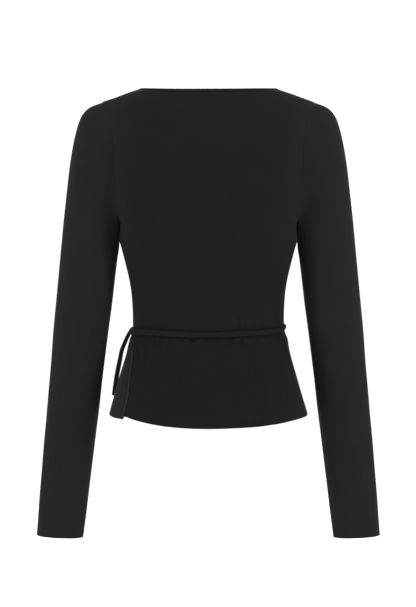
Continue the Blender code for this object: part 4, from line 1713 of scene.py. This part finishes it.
@dataclass
class Tie:
    """The narrow tie: a turned-through tube of jersey, pressed flat, knotted at the wearer's left."""

    form: BodyForm
    width: float = 9 * MM
    thick: float = 2.8 * MM
    cloth: float = 0.5 * MM
    sides: int = 24
    corner: float = 0.75  # power of the superellipse's sine and cosine
    rings: int = 260
    sways: tuple[Triple, ...] = ((0.04, 2.3, 0.6), (0.03, 5.1, 0.0))
    end_rings: int = 90
    end_plump: float = 0.9
    end_curl: float = 0.35 * MM
    curl_wave: Pair = (1.7, 0.5)  # radians in a step, and where it starts
    end_pinch: float = 0.12  # how much narrower it is where it leaves the knot
    pinch_fade: float = 0.5  # steps over which that falls to a third
    knot_at: Triple = (-114.6 * MM, 45 * MM, -365.6 * MM)
    knot_rings: int = 49
    knot_width: float = 0.62  # its width in the knot, as a share
    knot: tuple[KnotTurn, ...] = (
        KnotTurn("core", (2.7 * MM, 4.4 * MM), 8, -68, 1.3),
        KnotTurn("over", (3.6 * MM, 5.8 * MM), 34, -14, 1.0),
    )

    def outline(self, plump: float = 1.0) -> tuple[Array, Array]:
        """The tube's flattened section: a superellipse, across its width and through its thickness."""
        turn = 2 * math.pi * (np.arange(self.sides) + 0.5) / self.sides
        across = signed_power(np.cos(turn), self.corner) * self.width / 2
        return across, signed_power(np.sin(turn), self.corner) * self.thick * plump / 2

    def round_back(self) -> tuple[Array, Array]:
        """Rings and outward normals of the stretch round the back, each ring laid on the body's form.

        Its width sways by sines, each given by its share of the width, its radians in a step and where it starts.
        """
        step = np.linspace(0, TIE_COURSE.key[-1], self.rings)[:, None]
        angle, height, out, wide = TIE_COURSE.read_all(step)
        across, through = self.outline()
        across = across * wide * (1 + sum(part * np.sin(step * each + start) for part, each, start in self.sways))

        def form_at(turned: float, raised: float) -> Array:
            """Points of the body's form beside the tie's own."""
            level = height + across + raised
            return self.form.ring_point(angle + turned, level, np.abs(angle + turned) < SIDE_SEAM, level)

        here = form_at(0, 0)
        normals = unit(np.cross(form_at(0.5, 0) - form_at(-0.5, 0), form_at(0, 1 * MM) - here))
        rings = here + normals * (out + through)[..., None]
        return rings, rings - rings.mean(axis=1, keepdims=True)

    def hanging(self, course: Table) -> tuple[Array, Array, Array]:
        """Rings, outward normals and middle line of a hanging end, its section carried down its path.

        The section curls by a sine along the path times the square of the share of the width.
        """
        step = np.linspace(0, course.key[-1], self.end_rings)
        *path, turn = course.read_all(step)
        path, turn = np.stack(path, axis=-1), np.radians(turn)
        along = unit(np.gradient(path, axis=0))
        level = np.stack([-np.sin(turn), np.cos(turn), 0 * turn], axis=-1)
        wide = unit(level - along * (level * along).sum(axis=-1, keepdims=True))
        thick = np.cross(along, wide)
        across, through = self.outline(self.end_plump)
        each, start = self.curl_wave
        curl = self.end_curl * np.sin(step * each + start)[:, None] * (2 * across / self.width) ** 2
        pinch = 1 - self.end_pinch * np.exp(-step / self.pinch_fade)[:, None]
        rings = path[:, None] + wide[:, None] * (across * pinch)[..., None]
        rings = rings + thick[:, None] * (through / pinch + curl)[..., None]
        return rings, rings - path[:, None], path

    def round_knot(self, part: KnotTurn) -> tuple[Array, Array]:
        """Rings and outward normals of one turn of the knot."""
        turn = np.radians(np.linspace(0, FULL_TURN, self.knot_rings))
        out, up = part.reach
        path = np.stack([out * np.cos(turn), 0 * turn, up * np.sin(turn)], axis=-1)[:, None]
        outward = unit(np.stack([np.cos(turn) / out, 0 * turn, np.sin(turn) / up], axis=-1))[:, None]
        across, through = self.outline(part.plump)
        rings = path + outward * through[:, None] + np.array([0, self.knot_width, 0]) * across[:, None]
        rings = part.turned(rings)
        return rings + np.array(self.knot_at), rings - part.turned(path)


# --- The whole garment ---


@dataclass
class Garment:
    """The wrap top: builds each sewn piece, dresses it, hides the solid that it stands for and ties it to the root.
    """

    form: BodyForm = BodyForm()
    hem: TurnedEdge = TurnedEdge()
    cuff: TurnedEdge = TurnedEdge(width=11 * MM, stitch_insets=(8 * MM, 10 * MM))
    free_edge: TurnedEdge = TurnedEdge(width=8 * MM, stitch_insets=(6.2 * MM,))
    roll: SeamRoll = SeamRoll()
    slit: Slit = Slit()
    binding: Binding = Binding()
    stitches: StitchRow = StitchRow()
    thread: ThreadFinish = ThreadFinish("Black thread")
    cloth: float = 0.6 * MM
    fine_wale: float = 0.8 * MM  # width of a column of stitches in the bindings and the tie
    # Painted shade: the cloth below the tie is painted this much darker
    painted_shade_skirt: float = 0.88
    foot: float = -341 * MM  # where the bindings end, at the waist
    seam_margin: int = 2  # columns beside a seam that the hem's stitches leave free
    edge_margin: int = 3  # columns or rows beside a fold that stitches across it leave free

    def __post_init__(self) -> None:
        """Works out the rows and makes the thread's material once."""
        self.rows = RowPlan(self.form, self.hem)
        self.thread_material = self.thread.material()

    def dress(self, piece: Piece, node: str, slot: str, finish: JerseyFinish, thickness: float) -> Piece:
        """Gives a piece of cloth its thickness, its finish and its place in the object.

        Args:
            piece: the sheet.
            node: the solid that it stands for.
            slot: the record's slot; not used.
            finish: its finish.
            thickness: the cloth's thickness.

        Returns:
            The piece.
        """
        give_thickness(piece, thickness)
        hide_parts(node)
        self.place(piece, slot, finish.material())
        return piece

    def place(self, piece: Piece, slot: str, material: bpy.types.Material) -> None:
        """Gives a piece its material and its place in the object, and reports it."""
        piece.data.materials.append(material)
        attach(piece, "root")
        LOG.info("%s: %d faces", piece.name, len(piece.data.polygons))

    def sew(self, name: str, path: Array, normals: Array, slot: str) -> None:
        """Adds a row of stitches along a line on the cloth."""
        self.place(self.stitches.build(name, path, normals), slot, self.thread_material)

    def panel_piece(
        self, name: str, grid: PanelGrid, edge: TurnedEdge | None = None
    ) -> tuple[Piece, Array, Array]:
        """A panel as a sheet with its hem, and its free edge if it has one, turned under.

        Args:
            name: the piece's name.
            grid: its cloth.
            edge: how its free edge, the last column, is turned.

        Returns:
            The object, and its points and normals before the free edge was turned.
        """
        rows, columns = grid.skin.shape[:2]
        order, across, under = self.hem.order(rows), np.arange(columns), np.zeros(columns)
        if edge:
            across, under = edge.at_end(columns)
        facing = grid.facing[order]
        hemmed = grid.skin[order] - facing * self.hem.depths(rows)[:, None, None]
        normals = facing[:, across]
        points = hemmed[:, across] - normals * under[:, None]
        # The painted light and shade, carried into the hemmed sheet's order
        painted_light = None if grid.painted_light is None else grid.painted_light[order][:, across]
        uv = knit_uv(points, grid.angles[order][:, across], self.form.radius)
        shown = np.arange(len(points)) >= len(self.hem.insets()) - 1
        piece = GridMesh(name, points, uv, painted_light=painted_light).build(normals * shown[:, None, None])
        return piece, hemmed, facing

    def build_back(self) -> PanelGrid:
        """The back panel, its hem stitches, and the binding round the back neck."""
        grid = BackPanel(self.form, self.rows, self.roll, self.slit).grid()
        piece, hemmed, facing = self.panel_piece("back_panel", grid)
        finish = JerseyFinish("Back jersey", painted_shade_skirt=self.painted_shade_skirt)
        self.dress(piece, "back", "back_jersey", finish, self.cloth)
        sewn = slice(self.seam_margin, -self.seam_margin)
        self.sew_hem("back", hemmed[:, sewn], facing[:, sewn])
        at_neck = np.flatnonzero(np.abs(grid.flat[-1, :, 0]) < self.form.neck_x)
        inside = slice(at_neck[0] - 1, at_neck[-1] + 2)
        lines, normals = (part[::-1][:BOUND_LINES, inside].swapaxes(0, 1) for part in (grid.skin, grid.facing))
        self.bind("neckband_back", lines, normals, self.cloth)
        return grid

    def sew_hem(self, name: str, hemmed: Array, facing: Array) -> None:
        """The two rows of stitches that hold a panel's hem."""
        insets = self.hem.insets()
        for count, inset in enumerate(self.hem.stitch_insets, start=1):
            row = len(insets) - 1 + nearest(insets, inset)
            self.sew(f"hem_stitches_{name}_{count}", hemmed[row], facing[row], f"{name}_jersey")

    def bind(self, node: str, lines: Array, normals: Array, depth: float) -> None:
        """A binding over an edge, with its stitches.

        Args:
            node: the solid that it stands for.
            lines: the panel's points from the edge inwards.
            normals: the panel's normals there.
            depth: how far the panel's edge reaches below its outer face.
        """
        points, outward, uv = self.binding.grid(lines, normals, depth)
        piece = GridMesh(f"{node}_strip", points, uv).build(outward)
        finish = JerseyFinish(f"{node} jersey", wale=self.fine_wale)
        self.dress(piece, node, f"{node}_jersey", finish, self.binding.thickness)
        line = nearest(self.binding.section(depth)[0], self.binding.stitch_inset)
        self.sew(f"{node}_stitches", points[1:-1, line], outward[1:-1, line], f"{node}_jersey")

    def build_front(self, side: Side, layer: Layer, folds: tuple[Fold, ...]) -> PanelGrid:
        """A front panel, its stitches and the binding down its edge.

        Args:
            side: the wearer's side that it is sewn to.
            layer: outer or under.
            folds: the folds on it.

        Returns:
            The panel's cloth, with its side seam at +X.
        """
        slit = self.slit if side is Side.RIGHT else None
        grid = FrontPanel(self.form, self.rows, self.roll, layer, self.free_edge, folds, slit).grid()
        placed = grid if side is Side.RIGHT else grid.mirrored()
        sleeve, name, node = (f"{part}_{side.name.lower()}" for part in ("sleeve", "front", "neckband"))
        piece, hemmed, facing = self.panel_piece(f"{name}_panel", placed, self.free_edge)
        # Whether the panel carries painted light and shade
        painted_light_on_mesh = placed.painted_light is not None
        finish = JerseyFinish(f"{name} jersey", painted_shade_skirt=self.painted_shade_skirt, painted_light_on_mesh=painted_light_on_mesh)
        self.dress(piece, name, f"{name}_jersey", finish, self.cloth)
        sewn = slice(self.seam_margin, -self.edge_margin)
        self.sew_hem(name, hemmed[:, sewn], facing[:, sewn])
        foot = int(np.searchsorted(placed.heights, self.foot))
        column = -1 - nearest(self.free_edge.insets(), self.free_edge.stitch_insets[0])
        edge = placed.skin[self.edge_margin : foot, column], placed.facing[self.edge_margin : foot, column]
        self.sew(f"edge_stitches_{name}", *edge, f"{name}_jersey")
        lines, normals = (part[foot:, ::-1][:, :BOUND_LINES] for part in (placed.skin, placed.facing))
        self.bind(node, lines, normals, 2 * self.free_edge.radius)
        return grid

    def build_sleeves(self, back: PanelGrid, front: PanelGrid) -> None:
        """Both sleeves, one the mirror of the other, with their cuffs' stitches."""
        sleeve = Sleeve(self.form, self.rows, self.roll, self.cuff)
        skin, facing, degrees = sleeve.grid(back, front)
        order, depth = self.cuff.at_end(len(skin))
        shown = (np.arange(len(order)) < len(skin))[:, None, None]
        for side in Side:
            flip = np.array([side.value, 1, 1])
            node = f"sleeve_{side.name.lower()}"
            points = (skin[order] - facing[order] * depth[:, None, None]) * flip
            uv = knit_uv(points, degrees[order], sleeve.radius)
            piece = GridMesh(f"{node}_tube", points, uv, closed=True).build(facing[order] * flip * shown)
            self.dress(piece, node, f"{node}_jersey", JerseyFinish(f"{node} jersey"), self.cloth)
            for count, inset in enumerate(self.cuff.stitch_insets, start=1):
                row = -1 - nearest(self.cuff.insets(), inset)
                path, normals = (np.concatenate([part[row], part[row, :1]]) * flip for part in (skin, facing))
                self.sew(f"cuff_stitches_{side.name.lower()}_{count}", path, normals, f"{node}_jersey")

    def tube(self, name: str, rings: Array, outward: Array) -> Piece:
        """A tube through rings of points, with its own knit coordinates."""
        along = run_lengths(rings, 0).mean(axis=1)
        around = run_lengths(rings, 1).mean(axis=0)
        uv = np.stack(np.meshgrid(around, along), axis=-1)
        return GridMesh(name, rings, uv, closed=True).build(outward)

    def build_tie(self) -> None:
        """The tie round the back, its knot and its two hanging ends."""
        tie = Tie(self.form)
        band = self.tube("tie_round_back", *tie.round_back())
        self.dress(band, "tie_back", "tie_jersey", JerseyFinish("Tie jersey", wale=self.fine_wale), tie.cloth)
        turns = [self.tube(f"tie_knot_{part.name}", *tie.round_knot(part)) for part in tie.knot]
        for turn in turns:
            self.dress(turn, "tie_knot", "tie_knot_jersey", JerseyFinish("Knot jersey"), tie.cloth)
        # The hanging ends are painted lighter than the jersey: painted light where the body shades them
        for node, course, length, grey, with_pieces in (
            ("tie_tail", TAIL_BEHIND, 0.104, 0.0105, turns),
            ("tie_tail_front", TAIL_BEFORE, 0.101, 0.0056, ()),
        ):
            rings, outward, path = tie.hanging(course)
            end = self.tube(f"{node}_end", rings, outward)
            self.dress(end, node, f"{node}_jersey", JerseyFinish(f"{node} jersey", grey=grey), tie.cloth)

    def build(self) -> None:
        """Builds every piece, in the order in which they are sewn."""
        back = self.build_back()
        right = self.build_front(Side.RIGHT, Layer.OUTER, OUTER_FOLDS)
        self.build_front(Side.LEFT, Layer.UNDER, UNDER_FOLDS)
        self.build_sleeves(back, right)
        self.build_tie()


# --- Studio ---


def add_facing(name: str, data: bpy.types.ID, place: Triple, target: Triple) -> Piece:
    """Adds a light or a camera at a place, turned to face a target."""
    made = bpy.data.objects.new(name, data)
    made.location = place
    made.rotation_euler = (Vector(target) - Vector(place)).to_track_quat("-Z", "Y").to_euler()
    bpy.context.scene.collection.objects.link(made)
    return made


@dataclass(frozen=True)
class Softbox:
    """A large rectangular light that faces a point."""

    name: str
    place: Triple
    size: Pair
    watts: float
    target: Triple = (0.0, 0.0, -0.33)

    def build(self) -> None:
        """Adds the light."""
        data = bpy.data.lights.new(self.name, "AREA")
        data.shape = "RECTANGLE"
        data.size, data.size_y = self.size
        data.energy = self.watts
        add_facing(self.name, data, self.place, self.target)


@dataclass(frozen=True)
class Studio:
    """A pale floor where the wearer would stand, a white surround, soft lights and the camera behind the wearer."""

    floor_z: float = -1.35
    floor_half: float = 40.0
    floor_tone: Pair = (0.945, 0.965)
    floor_waves: float = 2.0  # in a metre
    floor_roughness: float = 0.9
    white: float = 1.08
    camera_place: Triple = (-0.0005, -3.2, -0.151)
    camera_target: Triple = (-0.0005, 0.0, -0.321)
    view_degrees: float = 16.17  # of the picture's long side
    sight: float = 200.0  # how far the camera sees
    lights: tuple[Softbox, ...] = (
        Softbox("Softbox left", (-3.4, -1.2, 0.3), (0.8, 2.4), 134),
        Softbox("Softbox right", (3.3, -1.9, 0.3), (0.8, 2.4), 172),
        Softbox("Softbox behind", (0.0, -4.6, 0.2), (1.0, 1.0), 56),
        Softbox("Softbox front", (0.0, 4.6, 0.9), (2.6, 2.0), 60),
        Softbox("Softbox above", (0.0, -0.7, 2.4), (2.0, 1.4), 56),
    )

    def build(self) -> None:
        """Builds the floor, the surround, the lights and the camera."""
        self.build_floor()
        world = bpy.data.worlds.new("White surround")
        world.use_nodes = True
        surround = world.node_tree.nodes["Background"]
        surround.inputs["Color"].default_value = (1, 1, 1, 1)
        surround.inputs["Strength"].default_value = self.white
        scene = bpy.context.scene
        scene.world = world
        scene.view_settings.view_transform = "Standard"
        scene.view_settings.look = "None"
        for light in self.lights:
            light.build()
        self.build_camera()

    def build_floor(self) -> None:
        """A square of pale, faintly mottled floor."""
        half, z = self.floor_half, self.floor_z
        corners = np.array([(-half, -half, z), (half, -half, z), (half, half, z), (-half, half, z)])
        floor = mesh_object("studio_floor", corners, np.array([[0, 1, 2, 3]]))
        desk = NodeDesk("Pale floor")
        mottle = desk.noise(desk.coordinates("Object"), self.floor_waves, 2.0)
        desk.give("Base Color", desk.grey(desk.graded(mottle, *self.floor_tone)))
        desk.give("Roughness", self.floor_roughness)
        floor.data.materials.append(desk.material)

    def build_camera(self) -> None:
        """The camera, at the height of the upper back and turned a little down."""
        data = bpy.data.cameras.new("Camera behind")
        data.lens = data.sensor_width / 2 / math.tan(math.radians(self.view_degrees / 2))
        data.clip_end = self.sight
        bpy.context.scene.camera = add_facing("Camera behind", data, self.camera_place, self.camera_target)


def main() -> None:
    """Loads the solids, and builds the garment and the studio."""
    logging.basicConfig(level=logging.INFO, format="%(name)s %(message)s")
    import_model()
    Studio().build()
    Garment().build()
    bpy.context.view_layer.update()


if __name__ == "__main__":
    main()
